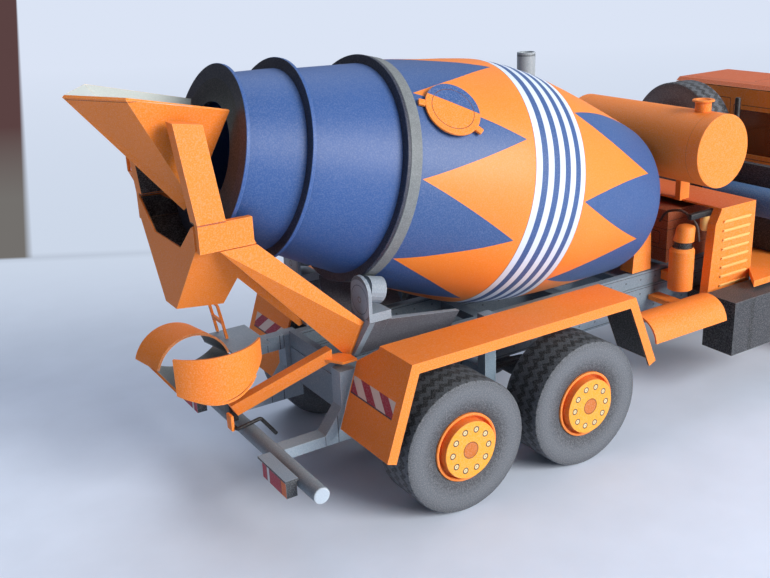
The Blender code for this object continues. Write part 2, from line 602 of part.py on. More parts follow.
# Water tank across the frame, its filler and the stand
TANK_X, TANK_Z, TANK_R, TANK_Y0, TANK_Y1 = 101.8, 74.1, 10.7, -27.2, 28.4
bm = bmesh.new()
lathe(bm, [(TANK_Y0, 0), (TANK_Y0, TANK_R), (TANK_Y1, TANK_R), (TANK_Y1, 0)],
      (TANK_X, 0, TANK_Z), (0, 1, 0), 40)
tank = finish("water_tank", bm, ORANGE)
bm = bmesh.new()
lathe(bm, [(TANK_R - 1.5, 0), (TANK_R - 1.5, 2.7), (TANK_R + 3.6, 2.7), (TANK_R + 3.6, 3.6),
           (TANK_R + 4.6, 3.6), (TANK_R + 4.6, 0)], (TANK_X, -19.6, TANK_Z), (0, 0, 1), 24)
join(tank, finish("tank_filler_cutter", bm, ORANGE))

# Engine for the mixer drive: housing with louvred side, block, filter, exhaust
COV_X0, COV_X1, COV_Y0, COV_Y1, COV_Z0, COV_Z1 = 102.4, 121.6, -25.0, 25.0, 28.7, 56.0
COV_SIDE = 3.0
bm = bmesh.new()
vs = cells(bm, [COV_X0, COV_X1], [COV_Y0, COV_Y0 + COV_SIDE, COV_Y1 - COV_SIDE, COV_Y1],
           [COV_Z0, 51.3, COV_Z1 - CARD, COV_Z1], lambda i, j, k: k == 2 or j != 1)
for v in vs:
    if v.co.x < COV_X0 + 1:
        v.co.x += 3.6 if v.co.z > 52 else 1.5 if v.co.z > 40 else 0
cover = finish("engine_cover", bm, ORANGE)
for s in (-1, 1):
    bm = bmesh.new()
    box(bm, TANK_X + 3.0, TANK_X + 7.0, s * 9.0 - 1.0, s * 9.0 + 1.0, COV_Z1 - 0.3, TANK_Z - TANK_R)
    join(cover, finish("tank_post_%d_cutter" % s, bm, ORANGE))
bm = bmesh.new()
box(bm, 99.0, 121.0, -11.0, 16.0, SUB_Z1 + GAP, 53.6)
finish("mixer_engine", bm, ORANGE)
bm = bmesh.new()
lathe(bm, [(0, 0), (0, 3.7), (12.6, 3.7), (12.6, 3.0), (13.9, 3.0), (13.9, 3.8), (18.6, 3.6), (19.4, 2.6),
           (19.4, 0)], (96.6, -19.2, 31.4), (0, 0, 1), 24)
canister = finish("air_filter", bm, ORANGE)
bm = bmesh.new()
box(bm, 95.0, 98.2, -17.0, -RAIL_OUT - GAP, 33.0, 36.0)
join(canister, finish("filter_bracket_cutter", bm, ORANGE))
bm = bmesh.new()
lathe(bm, [(0, 0), (0, 2.9), (55.6, 2.9), (55.6, 2.3), (4, 2.3), (4, 0)], (80.0, 34.0, 44.3), (0, 0, 1), 24)
stack = finish("exhaust_stack", bm, GREY)
bm = bmesh.new()
lathe(bm, [(68.0, 0), (68.0, 6.6), (96.0, 6.6), (96.0, 0)], (0, 31.2, 29.0), (1, 0, 0), 24)
join(stack, finish("silencer_cutter", bm, GREY))
bm = bmesh.new()
box(bm, 78.0, 82.0, 31.5, 36.4, 30.0, 46.0)
join(stack, finish("exhaust_riser_cutter", bm, GREY))
bm = bmesh.new()
box(bm, 78.0, 84.0, RAIL_OUT + GAP, 28.0, 26.0, 29.0)
join(stack, finish("silencer_bracket_cutter", bm, GREY))

# Spare wheel upright behind the cab
SPARE_X = 128.5
bm = bmesh.new()
lathe(bm, [(0, 0), (0, 8.0), (0, WHEEL_R - 0.8), (0.8, WHEEL_R), (SINGLE_W - 0.8, WHEEL_R),
           (SINGLE_W, WHEEL_R - 0.8), (SINGLE_W, 8.0), (SINGLE_W - 1.0, 7.6), (SINGLE_W - 1.0, 0)],
      (SPARE_X, 15.8, 69.2), (1, 0, 0), 32)
finish("spare_wheel", bm, TYRE)

# Stored half-round chute along the right side, fuel tank, air tanks, locker on the left
bm = bmesh.new()
band(bm, arc_pts(-30.5, 26.5, 7.0, 6.4, 14, -CARD), arc_pts(-30.5, 26.5, 7.0, 6.4, 14), "yz", 67.5, 96.4)
spare_chute = finish("stored_chute", bm, ORANGE)
bm = bmesh.new()
box(bm, 90.0, 94.5, -30.0, -RAIL_OUT - GAP, 27.4, 29.0)
join(spare_chute, finish("chute_bracket_cutter", bm, ORANGE))
bm = bmesh.new()
box(bm, 99.2, 134.0, -38.0, -27.0, 14.6, 31.3)
fuel = finish("fuel_tank", bm, DARK)
bm = bmesh.new()
box(bm, 108.0, 126.0, -28.0, -RAIL_OUT - GAP, 24.0, 27.0)
join(fuel, finish("fuel_bracket_cutter", bm, DARK))
bm = bmesh.new()
box(bm, 99.2, 134.0, 27.0, 38.0, 14.6, 31.3)
battery = finish("battery_box", bm, DARK)
bm = bmesh.new()
box(bm, 108.0, 126.0, RAIL_OUT + GAP, 28.0, 24.0, 27.0)
join(battery, finish("battery_bracket_cutter", bm, DARK))
bm = bmesh.new()
lathe(bm, [(-31.0, 0), (-31.0, 4.6), (1.0, 4.6), (1.0, 0)], (131.5, 0, 52.5), (0, 1, 0), 24)
finish("air_tank", bm, BLUE)

# Cab: hollow shell with cut windows, roof, film glazing
CAB_X0, CAB_X1, CAB_Y, CAB_Z1 = 155.0, 208.0, 38.6, 82.5
CAB_FLOOR, CAB_SKIRT, CAB_STEP = 37.4, 26.0, 187.6
CAB_KINK, CAB_DROP = 182.8, 0.15
WIN_Z0, WIN_Z1 = 60.5, 75.5
C = CARD + 0.2
xs = [CAB_X0, CAB_X0 + C, 160.5, 172.0, 176.0, CAB_KINK, CAB_STEP, 203.5, CAB_X1 - C, CAB_X1]
ys = [-CAB_Y, -CAB_Y + C, -35.5, -24, -12, 12, 24, 35.5, CAB_Y - C, CAB_Y]
zs = [CAB_SKIRT, CAB_FLOOR, CAB_FLOOR + C, WIN_Z0, WIN_Z1, CAB_Z1]


def cab_cell(i, j, k):
    front, rear, side = i == 8, i == 0, j in (0, 8)
    if k == 0:
        return i >= 6 and (front or side)
    if k == 1:
        return True
    if not (front or rear or side):
        return False
    if k == 3:
        if rear and j == 4:
            return False
        if front and 2 <= j <= 6 and j != 4:
            return False
        if side and i in (2, 4, 5, 6):
            return False
    return True


bm = bmesh.new()
for v in cells(bm, xs, ys, zs, cab_cell):
    if v.co.z > WIN_Z1 + 1 and v.co.x > CAB_KINK:
        v.co.z -= (v.co.x - CAB_KINK) * CAB_DROP
cab = finish("cab_shell", bm, ORANGE)
for x in (158.0, 196.0):
    for s in (-1, 1):
        bm = bmesh.new()
        y = sorted((s * (RAIL_OUT - RAIL_W), s * RAIL_OUT))
        box(bm, x, x + 5.0, y[0], y[1], RAIL_Z1 + GAP, CAB_FLOOR + 0.3)
        join(cab, finish("cab_mount_%d_%d_cutter" % (x, s), bm, ORANGE))
bm = bmesh.new()
fall = (CAB_X1 - CAB_KINK) * CAB_DROP
roof = CAB_Z1 + GAP
prism(bm, [(CAB_X0, roof), (CAB_KINK, roof), (CAB_X1, roof - fall), (CAB_X1 - 2.0, roof + 1.2 - fall),
           (CAB_KINK, roof + 1.2), (CAB_X0 + 1.6, roof + 1.2)], "xz", -CAB_Y, CAB_Y)
finish("cab_roof", bm, ORANGE)
bm = bmesh.new()
a, b = C + 0.15, C + 0.5
cells(bm, [CAB_X0 + a, CAB_X0 + b, CAB_X1 - b, CAB_X1 - a], [-CAB_Y + a, -CAB_Y + b, CAB_Y - b, CAB_Y - a],
      [WIN_Z0 - 1.5, WIN_Z1 + 1.5], lambda i, j, k: not (i == 1 and j == 1))
finish("cab_glazing", bm, FILM)

# Carrier for the spare wheel and the air tank, standing on the deck
DECK_T = 2.1
CARRIER_X0, CARRIER_X1 = SPARE_X + SINGLE_W + GAP, 140.6
bm = bmesh.new()
box(bm, CARRIER_X0, CARRIER_X1, -24.0, 24.0, RAIL_Z1 + DECK_T + 2 * GAP, 62.0)
carrier = finish("wheel_carrier", bm, DARK)
for y in (-24.0, -9.0):
    bm = bmesh.new()
    box(bm, 136.4, 139.0, y, y + 4.0, 50.4, 54.6)
    join(carrier, finish("tank_saddle_%d_cutter" % -y, bm, DARK))

# Deck behind the cab, over the tanks
bm = bmesh.new()
cells(bm, [112.0, COV_X1 + 1.4, 149.5], [-34.0, COV_Y0 - 0.4, COV_Y1 + 0.4, 34.0],
      [RAIL_Z1 + GAP, RAIL_Z1 + GAP + DECK_T], lambda i, j, k: i == 1 or j != 1)
finish("rear_deck", bm, ORANGE)

# Front bumper and front mudguards
bm = bmesh.new()
box(bm, BUMPER_FRONT - 5.0, BUMPER_FRONT, -38.5, 38.5, 14.5, 24.5)
finish("front_bumper", bm, ORANGE)
MUD_R = WHEEL_R + 1.5
for tag, s in (("left", 1), ("right", -1)):
    bm = bmesh.new()
    path = [(AXLE_FRONT + MUD_R * math.cos(math.radians(d)), WHEEL_R + MUD_R * math.sin(math.radians(d)))
            for d in range(176, 0, -16)]
    pts = path + offset_path(path, -CARD)[::-1]
    y = sorted((s * 27.5, s * 38.8))
    prism(bm, pts, "xz", y[0], y[1])
    finish("front_mudguard_" + tag, bm, DARK)
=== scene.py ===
import math

import bpy
import bmesh
from mathutils import Matrix, Vector


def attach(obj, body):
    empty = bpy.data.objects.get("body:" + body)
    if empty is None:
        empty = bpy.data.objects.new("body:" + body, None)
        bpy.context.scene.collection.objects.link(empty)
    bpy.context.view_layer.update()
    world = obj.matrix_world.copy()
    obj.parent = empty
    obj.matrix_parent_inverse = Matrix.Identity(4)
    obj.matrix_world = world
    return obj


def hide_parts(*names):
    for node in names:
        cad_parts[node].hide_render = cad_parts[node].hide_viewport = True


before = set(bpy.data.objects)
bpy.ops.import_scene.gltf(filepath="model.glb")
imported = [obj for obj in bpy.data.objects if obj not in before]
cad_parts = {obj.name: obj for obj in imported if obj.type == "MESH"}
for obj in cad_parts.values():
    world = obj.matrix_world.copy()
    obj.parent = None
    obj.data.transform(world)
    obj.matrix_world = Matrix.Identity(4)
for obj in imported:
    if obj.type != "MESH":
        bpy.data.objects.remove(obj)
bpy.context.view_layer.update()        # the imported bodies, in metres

# Chassis ladder with the mixer's own frame on top of it.
# Both are folded from thin grey-blue card, glued flap to flap, with the rivets printed on.
# The card is uncoated: it has a fine fibre and shows paler where it was cut or folded.
MM = 0.001
AXLE_TO_MIDDLE = 68.4    # the rearmost axle lies this far behind the middle of the model


def at(x, y, z):
    """A place in millimetres from the rearmost axle, as metres in the frame."""
    return Vector(((x - AXLE_TO_MIDDLE) * MM, y * MM, z * MM))


def ink(red, green, blue):
    """A printed colour as the eye reads it, 0 to 255, for a shader."""
    def plain(c):
        return c / 255 / 12.92 if c <= 10 else ((c / 255 + 0.055) / 1.055) ** 2.4
    return plain(red), plain(green), plain(blue), 1.0


class CardPrint:
    """One printed card finish, drawn in millimetres from the rearmost axle."""

    def __init__(self, name):
        self.material = bpy.data.materials.new(name)
        self.material.use_nodes = True
        self.nodes = self.material.node_tree.nodes
        self.links = self.material.node_tree.links
        self.shader = self.nodes["Principled BSDF"]
        coords = self.add("TexCoord")
        place = self.add("Mapping")
        place.inputs["Location"].default_value = (AXLE_TO_MIDDLE, 0, 0)
        place.inputs["Scale"].default_value = (1000, 1000, 1000)
        self.links.new(coords.outputs["Object"], place.inputs["Vector"])
        self.place = place.outputs[0]
        split = self.add("SeparateXYZ")
        self.links.new(self.place, split.inputs[0])
        self.x, self.y, self.z = split.outputs
        facing = self.add("SeparateXYZ")
        self.links.new(coords.outputs["Normal"], facing.inputs[0])
        self.nx, self.ny, self.nz = facing.outputs
        self.out = self.size(self.y)        # from the centre line
        self.side, self.top = self.above(self.size(self.ny), 0.5), self.above(self.nz, 0.5)
        self.front, self.rear = self.above(self.nx, 0.5), self.below(self.nx, -0.5)

    def add(self, kind):
        return self.nodes.new("ShaderNode" + kind)

    def feed(self, socket, value):
        """Sets a socket to a plain value, or links it to another node's."""
        if isinstance(value, (tuple, float, int)):
            socket.default_value = value
        else:
            self.links.new(value, socket)

    def sum(self, kind, *values, clamp=False):
        """One step of arithmetic."""
        node = self.add("Math")
        node.operation = kind
        node.use_clamp = clamp
        for socket, value in zip(node.inputs, values):
            self.feed(socket, value)
        return node.outputs[0]

    def plus(self, a, b):
        return self.sum("ADD", a, b)

    def less(self, a, b):
        return self.sum("SUBTRACT", a, b)

    def times(self, a, b):
        return self.sum("MULTIPLY", a, b)

    def size(self, a):
        return self.sum("ABSOLUTE", a)

    def above(self, value, edge, soft=0.1):
        """A mask: 1 where the value is above the edge, 0 where it is below."""
        return self.sum("MULTIPLY_ADD", value, 1 / soft, 0.5 - edge / soft, clamp=True)

    def below(self, value, edge, soft=0.1):
        return self.sum("MULTIPLY_ADD", value, -1 / soft, 0.5 + edge / soft, clamp=True)

    def between(self, value, low, high, soft=0.1):
        return self.both(self.above(value, low, soft), self.below(value, high, soft))

    def both(self, *masks):
        out = masks[0]
        for mask in masks[1:]:
            out = self.times(out, mask)
        return out

    def either(self, *masks):
        out = masks[0]
        for mask in masks[1:]:
            out = self.sum("MAXIMUM", out, mask)
        return out

    def away(self, a, a0, b, b0):
        """The distance of (a, b) from (a0, b0)."""
        da, db = self.less(a, a0), self.less(b, b0)
        return self.sum("SQRT", self.plus(self.times(da, da), self.times(db, db)))

    def frame_line(self, a, a0, a1, b, b0, b1, width=0.25):
        """A drawn rectangle, as wide as a pen line."""
        ha, hb = (a1 - a0) / 2, (b1 - b0) / 2
        da = self.less(self.size(self.less(a, a0 + ha)), ha)
        db = self.less(self.size(self.less(b, b0 + hb)), hb)
        far = self.sum("SMOOTH_MAX", da, db, 1.2)
        return self.below(self.size(far), width / 2)

    def lay(self, under, over, where):
        """One colour printed over another where the mask is 1."""
        node = self.add("Mix")
        node.data_type = "RGBA"
        for number, value in ((0, where), (6, under), (7, over)):
            self.feed(node.inputs[number], value)
        return node.outputs[2]

    def grain(self, scale, detail=3.0):
        node = self.add("TexNoise")
        node.inputs["Scale"].default_value = scale
        node.inputs["Detail"].default_value = detail
        self.links.new(self.place, node.inputs["Vector"])
        return node.outputs[0]

    def finish(self, colour, edge, cut=0.5, fleck=0.12, shade=0.07, rough=0.56, fold=0.22):
        """Fibre, mottling and the paler cut edges, over the printed colour."""
        fibre, cloud = self.grain(4.2, 4.0), self.grain(0.07)
        tone = self.add("HueSaturation")
        value = self.sum("MULTIPLY_ADD", fibre, shade * 2.2, 1 - shade * 1.1)
        value = self.times(value, self.sum("MULTIPLY_ADD", cloud, 0.12, 0.94))
        self.links.new(value, tone.inputs["Value"])
        self.feed(tone.inputs["Color"], colour)
        flecks = self.times(self.above(self.grain(3.1), 0.58, 0.3), fleck)
        colour = self.lay(tone.outputs[0], ink(240, 240, 245), flecks)
        worn = self.add("Bevel")
        worn.samples = 4
        worn.inputs["Radius"].default_value = fold * MM
        flat = self.add("NewGeometry")
        dot = self.add("VectorMath")
        dot.operation = "DOT_PRODUCT"
        self.links.new(worn.outputs[0], dot.inputs[0])
        self.links.new(flat.outputs["Normal"], dot.inputs[1])
        edges = self.times(self.below(dot.outputs["Value"], 0.93, 0.12), cut)
        patchy = self.sum("MULTIPLY_ADD", self.grain(0.55, 2.0), 1.6, 0.1, clamp=True)
        edges = self.times(edges, patchy)
        self.links.new(self.lay(colour, edge, edges), self.shader.inputs["Base Color"])
        self.links.new(self.sum("MULTIPLY_ADD", fibre, 0.16, rough - 0.08), self.shader.inputs["Roughness"])
        self.shader.inputs["Specular IOR Level"].default_value = 0.3
        bump = self.add("Bump")
        bump.inputs["Strength"].default_value = 0.35
        bump.inputs["Distance"].default_value = 0.00005
        self.links.new(fibre, bump.inputs["Height"])
        self.links.new(bump.outputs[0], self.shader.inputs["Normal"])
        return self.material


def dress(thing, material):
    """Puts a finish on a piece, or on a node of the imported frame."""
    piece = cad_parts[thing] if isinstance(thing, str) else thing
    if not piece.material_slots:
        piece.data.materials.append(material)
    for place in piece.material_slots:
        place.material = material


def dress_pair(name, material):
    for hand in ("_left", "_right"):
        dress(name + hand, material)


GREY_CARD, GREY_EDGE, GREY_LINE = ink(116, 132, 146), ink(178, 192, 204), ink(52, 60, 70)
RIVET_STEP, RIVET_RISE, RIVET_R = 3.1, 2.3, 0.34       # half the pitch along the rail and up it
card = CardPrint("frame_card")
rivets = card.away(card.sum("PINGPONG", card.x, RIVET_STEP), 0.0,
                   card.sum("PINGPONG", card.less(card.z, 25.2), RIVET_RISE), 0.0)
rivets = card.both(card.below(rivets, RIVET_R, 0.12), card.side)
seams = card.both(card.either(card.between(card.z, 35.9, 36.1), card.between(card.z, 31.3, 31.5),
                              card.between(card.z, 23.5, 23.7)), card.side)
# Painted highlight: the tops are printed paler than the sides, as they look when lit from above.
colour = card.lay(GREY_CARD, ink(128, 144, 158), card.top)
colour = card.lay(colour, ink(78, 90, 102), rivets)
colour = card.lay(colour, GREY_LINE, seams)
FRAME_CARD = card.finish(colour, GREY_EDGE)
dress("chassis_frame", FRAME_CARD)
dress("mixer_frame", FRAME_CARD)

# Axles with their differential balls, the leaf springs and the propeller shaft.
# Each axle is a rolled tube of dark card with a ball glued on its middle; the springs are
# layered strips, whose leaves are drawn as dark lines.
DARK_CARD, DARK_EDGE = ink(72, 78, 84), ink(150, 156, 160)
WHEEL_R = 17.5
REAR_X, MIDDLE_X, FRONT_X = 0.0, 39.2, 166.0


def mode(kind):
    bpy.ops.object.mode_set(mode=kind)


def make_real():
    """Puts the place, turn and scale of the active piece into its mesh."""
    bpy.ops.object.transform_apply(location=True, rotation=True, scale=True)


def pick(piece):
    bpy.ops.object.select_all(action="DESELECT")
    piece.select_set(True)
    bpy.context.view_layer.objects.active = piece


def close_up():
    """Merges doubles and turns the normals outward, on the active piece."""
    mode("EDIT")
    bpy.ops.mesh.select_all(action="SELECT")
    bpy.ops.mesh.remove_doubles(threshold=2e-6)
    bpy.ops.mesh.normals_make_consistent(inside=False)
    mode("OBJECT")


def begin(kind, **size):
    """Adds one primitive, with nothing else selected."""
    bpy.ops.object.select_all(action="DESELECT")
    getattr(bpy.ops.mesh, "primitive_%s_add" % kind)(**size)
    return bpy.context.active_object


def swept(points, centre, axis, turn=360.0, steps=96, wall=0.0):
    """Draws a line of points in mm and spins it about an axis; wall gives it a card's thickness."""
    path = [at(*p) for p in points]
    piece = begin("plane", size=MM)
    mode("EDIT")
    bpy.ops.mesh.merge(type="CENTER")
    bpy.ops.transform.translate(value=path[0])
    for a, b in zip(path, path[1:]):
        bpy.ops.mesh.extrude_vertices_move(TRANSFORM_OT_translate={"value": b - a})
    bpy.ops.mesh.select_all(action="SELECT")
    bpy.ops.mesh.spin(steps=steps, angle=math.radians(turn), center=at(*centre), axis=-Vector(axis))
    mode("OBJECT")
    close_up()
    if wall:
        card_wall = piece.modifiers.new("wall", "SOLIDIFY")
        card_wall.thickness = wall * MM
        card_wall.offset = 0
        bpy.ops.object.modifier_apply(modifier="wall")
    return piece


def turned(centre, axis, section, steps=96):
    """Turns a section, given as (distance along the axis, radius), about the axis."""
    axis = Vector(axis).normalized()
    out = Vector((0, 0, 1)) if abs(axis.z) < 0.9 else Vector((1, 0, 0))
    out = (out - axis * out.dot(axis)).normalized()
    points = [Vector(centre) + axis * s + out * r for s, r in section]
    return swept(points, centre, axis, steps=steps)


def settle(piece, name, material, nodes=(), body="chassis", angle=32):
    """Names a finished piece, puts its place in its mesh, and fixes it to its body."""
    pick(piece)
    make_real()
    bpy.ops.object.shade_smooth_by_angle(angle=math.radians(angle))
    piece.name = piece.data.name = name
    dress(piece, material)
    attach(piece, body)
    if nodes:
        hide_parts(*nodes)


card = CardPrint("axle_card")
joint = card.between(card.out, 2.9, 3.1)
AXLE_CARD = card.finish(card.lay(DARK_CARD, ink(40, 44, 48), joint), DARK_EDGE)
for name, x, ball, reach in (("rear", REAR_X, 5.2, 26.0), ("middle", MIDDLE_X, 5.2, 26.0),
                             ("front", FRONT_X, 4.4, 29.5)):
    half = [(0.0, ball), (1.2, ball * 0.985), (2.4, ball * 0.9), (3.4, ball * 0.75), (4.2, 3.0), (4.8, 2.2),
            (reach, 2.2), (reach, 1.6), (36.8, 1.6), (36.8, 0.0)]
    section = [(-s, r) for s, r in half[:0:-1]] + half
    piece = turned((x, 0, WHEEL_R), (0, 1, 0), section, steps=48)
    settle(piece, "axle_tube_" + name, AXLE_CARD, ["axle_" + name])

card = CardPrint("spring_card")
leaves = card.both(card.below(card.sum("PINGPONG", card.z, 0.4), 0.09), card.side)
SPRING_CARD = card.finish(card.lay(DARK_CARD, ink(30, 33, 36), leaves), DARK_EDGE)
dress_pair("spring_bogie", SPRING_CARD)
dress_pair("spring_front", SPRING_CARD)
dress("prop_shaft", SPRING_CARD)

# Six wheels and the spare, each rolled and layered from card: a printed tyre, an orange rim
# and a raised hub plate with its ring of bolts drawn on. The twin tyres at the rear are one
# wide roll. The tread is a strip with a printed zigzag, and the cut edges show pale.
TYRE_OUT, RIM_R, HUB_R, HUB_OUT = 40.0, 9.1, 7.5, 41.5
TWIN_INNER, SINGLE_INNER = 27.0, 30.5
BOLTS, BOLT_RING = 10, 5.4
ZIG_WIDE, ZIG_DEEP, ZIG_STEP = 1.3, 1.25, 1.9       # the zigzag of the tread


def tyre_print(u, v, across, card):
    """Tyre: u and v run across the disc from its centre, across runs along the axle."""
    r = card.away(u, 0.0, v, 0.0)
    turn = card.times(card.sum("ARCTAN2", v, u), WHEEL_R)
    tread = card.above(r, 17.2)
    wave = card.sum("PINGPONG", card.plus(turn, 60.0), ZIG_WIDE)
    zig = card.sum("PINGPONG", card.plus(across, card.times(wave, ZIG_DEEP)), ZIG_STEP)
    colour = card.lay(ink(40, 43, 47), ink(78, 83, 90), card.above(zig, 0.95, 0.3))
    side = card.lay(ink(74, 78, 84), ink(94, 99, 106), card.between(r, 12.2, 16.4, 2.4))
    side = card.lay(side, ink(60, 64, 70), card.below(r, 10.4, 1.8))
    colour = card.lay(side, colour, tread)
    return card.finish(colour, ink(150, 156, 162), cut=0.6, fleck=0.12, fold=0.14)


def hub_print(u, v, card):
    """Rim and hub plate: a ring of bolts round the darker centre disc."""
    r = card.away(u, 0.0, v, 0.0)
    turn = card.times(card.sum("ARCTAN2", v, u), BOLTS / (2 * math.pi))
    along = card.times(card.sum("PINGPONG", turn, 0.5), 2 * math.pi * BOLT_RING / BOLTS)
    bolt = card.away(along, 0.0, r, BOLT_RING)
    colour = card.lay(ink(240, 160, 44), ink(196, 108, 36), card.below(r, 2.1))
    colour = card.lay(colour, ink(110, 62, 20), card.between(r, 2.0, 2.25))
    colour = card.lay(colour, ink(58, 44, 34), card.below(bolt, 0.86))
    colour = card.lay(colour, ink(214, 196, 150), card.below(bolt, 0.58))
    colour = card.lay(colour, ink(150, 130, 100), card.below(bolt, 0.16))
    colour = card.lay(colour, ink(238, 128, 40), card.above(r, 7.45))
    return card.finish(colour, ink(250, 190, 110), cut=0.7, fold=0.15)


def nearest_axle(card):
    """Where a point lies on its own wheel's disc."""
    steps = card.plus(card.times(card.above(card.x, (REAR_X + MIDDLE_X) / 2), MIDDLE_X - REAR_X),
                      card.times(card.above(card.x, (MIDDLE_X + FRONT_X) / 2), FRONT_X - MIDDLE_X))
    return card.less(card.x, steps), card.less(card.z, WHEEL_R)


card = CardPrint("tyre_print")
TYRE_PRINT = tyre_print(*nearest_axle(card), card.out, card)
card = CardPrint("hub_print")
HUB_PRINT = hub_print(*nearest_axle(card), card)


def tyre_section(inner):
    return [(inner, RIM_R), (inner, 16.7), (inner + 0.25, 17.2), (inner + 0.7, WHEEL_R),
            (TYRE_OUT - 0.7, WHEEL_R), (TYRE_OUT - 0.22, 17.3), (TYRE_OUT, 16.8), (TYRE_OUT, 13.6),
            (TYRE_OUT - 0.12, 11.2), (TYRE_OUT - 0.35, 9.7), (TYRE_OUT - 0.6, RIM_R), (inner, RIM_R)]


def hub_section(inner):
    return [(inner + 1.6, 9.0), (TYRE_OUT - 0.2, 9.0), (TYRE_OUT - 0.05, 8.85), (TYRE_OUT - 0.05, 8.45),
            (TYRE_OUT - 0.2, 8.3), (TYRE_OUT - 1.6, 8.25), (TYRE_OUT - 1.6, HUB_R), (HUB_OUT - 0.12, HUB_R),
            (HUB_OUT, HUB_R - 0.12), (HUB_OUT, 0.0), (TYRE_OUT - 2.6, 0.0), (TYRE_OUT - 2.6, 1.68),
            (inner + 1.6, 1.68), (inner + 1.6, 9.0)]


def again(piece, move=(0, 0, 0), flip=False):
    """Copies a piece with a mesh of its own, moved and, where asked, mirrored to the other side."""
    twin = piece.copy()
    twin.data = piece.data.copy()
    bpy.context.scene.collection.objects.link(twin)
    pick(twin)
    twin.location = Vector(move) * MM
    if flip:
        twin.scale.y = -1
    make_real()
    close_up()
    return twin


for x0, inner, axles in ((REAR_X, TWIN_INNER, (("rear", REAR_X), ("middle", MIDDLE_X))),
                         (FRONT_X, SINGLE_INNER, (("front", FRONT_X),))):
    tyre = turned((x0, 0, WHEEL_R), (0, -1, 0), tyre_section(inner))
    hub = turned((x0, 0, WHEEL_R), (0, -1, 0), hub_section(inner))
    for axle, x in axles:
        for hand in ("left", "right"):
            body = "wheel_%s_%s" % (axle, hand)
            piece = again(tyre, (x - x0, 0, 0), hand == "left")
            settle(piece, "tyre_%s_%s" % (axle, hand), TYRE_PRINT, [body], body)
            piece = again(hub, (x - x0, 0, 0), hand == "left")
            settle(piece, "hub_%s_%s" % (axle, hand), HUB_PRINT, (), body)
    bpy.data.objects.remove(tyre, do_unlink=True)
    bpy.data.objects.remove(hub, do_unlink=True)

SPARE_X, SPARE_Y, SPARE_Z, SPARE_W = 128.5, 15.8, 69.2, 9.5
section = [(0.3, 0.0), (0.3, 8.0), (0.0, 8.4), (0.0, 16.8), (0.2, 17.25), (0.7, WHEEL_R),
           (SPARE_W - 0.7, WHEEL_R), (SPARE_W - 0.2, 17.25), (SPARE_W, 16.8), (SPARE_W, 8.0),
           (SPARE_W - 1.0, 7.6), (SPARE_W - 1.0, 0.0)]
card = CardPrint("spare_print")
u, v = card.less(card.y, SPARE_Y), card.less(card.z, SPARE_Z)
piece = turned((SPARE_X, SPARE_Y, SPARE_Z), (1, 0, 0), section)
settle(piece, "spare_tyre", tyre_print(u, v, card.x, card), ["spare_wheel"])

# Rear mudguards: long folded strips with a turned-down lip, black inside.
# The wide rear flaps carry printed red and white striped boards.
ORANGE, ORANGE_EDGE, ORANGE_LINE = ink(241, 131, 32), ink(248, 184, 114), ink(142, 66, 22)
BLACK_CARD = ink(27, 28, 31)
STRIPE_PITCH = 8.3       # one red and one white stripe, measured across
card = CardPrint("mudguard_print")
outer = card.times(card.ny, card.sum("SIGN", card.y))
under = card.either(card.below(card.nz, -0.35), card.both(card.front, card.below(card.x, 10.0)),
                    card.both(card.below(card.nx, -0.3), card.above(card.x, 50.0)), card.below(outer, -0.5))
under = card.both(under, card.below(card.size(card.less(card.out, 39.7)), 20.0))
flap = card.both(card.rear, card.below(card.x, 0.0), card.between(card.out, 18.6, 37.4))
board = card.both(flap, card.between(card.z, 30.3, 34.2))
stripe = card.plus(card.out, card.sum("MULTIPLY_ADD", card.z, 1.2, -62.7))
stripe = card.sum("FLOORED_MODULO", stripe, STRIPE_PITCH)
stripe = card.lay(ink(214, 196, 188), ink(158, 44, 66), card.between(stripe, 0.05, STRIPE_PITCH / 2))
rim_line = card.both(flap, card.between(card.z, 30.0, 30.35))
colour = card.lay(ORANGE, stripe, board)
colour = card.lay(colour, ink(60, 50, 60), rim_line)
colour = card.lay(colour, BLACK_CARD, under)
MUDGUARD_PRINT = card.finish(colour, ORANGE_EDGE, cut=0.45)
dress_pair("mudguard", MUDGUARD_PRINT)

# A stay of folded grey card carries each mudguard between its two wheels.
# It stands on a short arm that is glued to the rail.
def plain_card(name, colour, edge, **more):
    return CardPrint(name).finish(colour, edge, **more)


def folded_box(x0, x1, y0, y1, z0, z1, fold=0.2):
    """A closed card box, in mm, with its folds slightly rounded."""
    piece = begin("cube", size=1, location=at((x0 + x1) / 2, (y0 + y1) / 2, (z0 + z1) / 2))
    piece.scale = Vector((x1 - x0, y1 - y0, z1 - z0)) * MM
    make_real()
    mode("EDIT")
    bpy.ops.mesh.bevel(offset=fold * MM, segments=2)
    mode("OBJECT")
    return piece


STAY_CARD = plain_card("stay_card", ink(120, 140, 156), ink(196, 212, 224), cut=0.9, fold=0.4)
STAY_PARTS = (("", 17.9, 21.5, 20.8, 24.2, 22.4, 42.8), ("arm_", 18.5, 20.9, 12.8, 20.7, 24.6, 27.4))
for hand, s in (("left", 1), ("right", -1)):
    for part, x0, x1, near, far, z0, z1 in STAY_PARTS:
        piece = folded_box(x0, x1, *sorted((s * near, s * far)), z0, z1, 0.15)
        settle(piece, "mudguard_stay_" + part + hand, STAY_CARD)

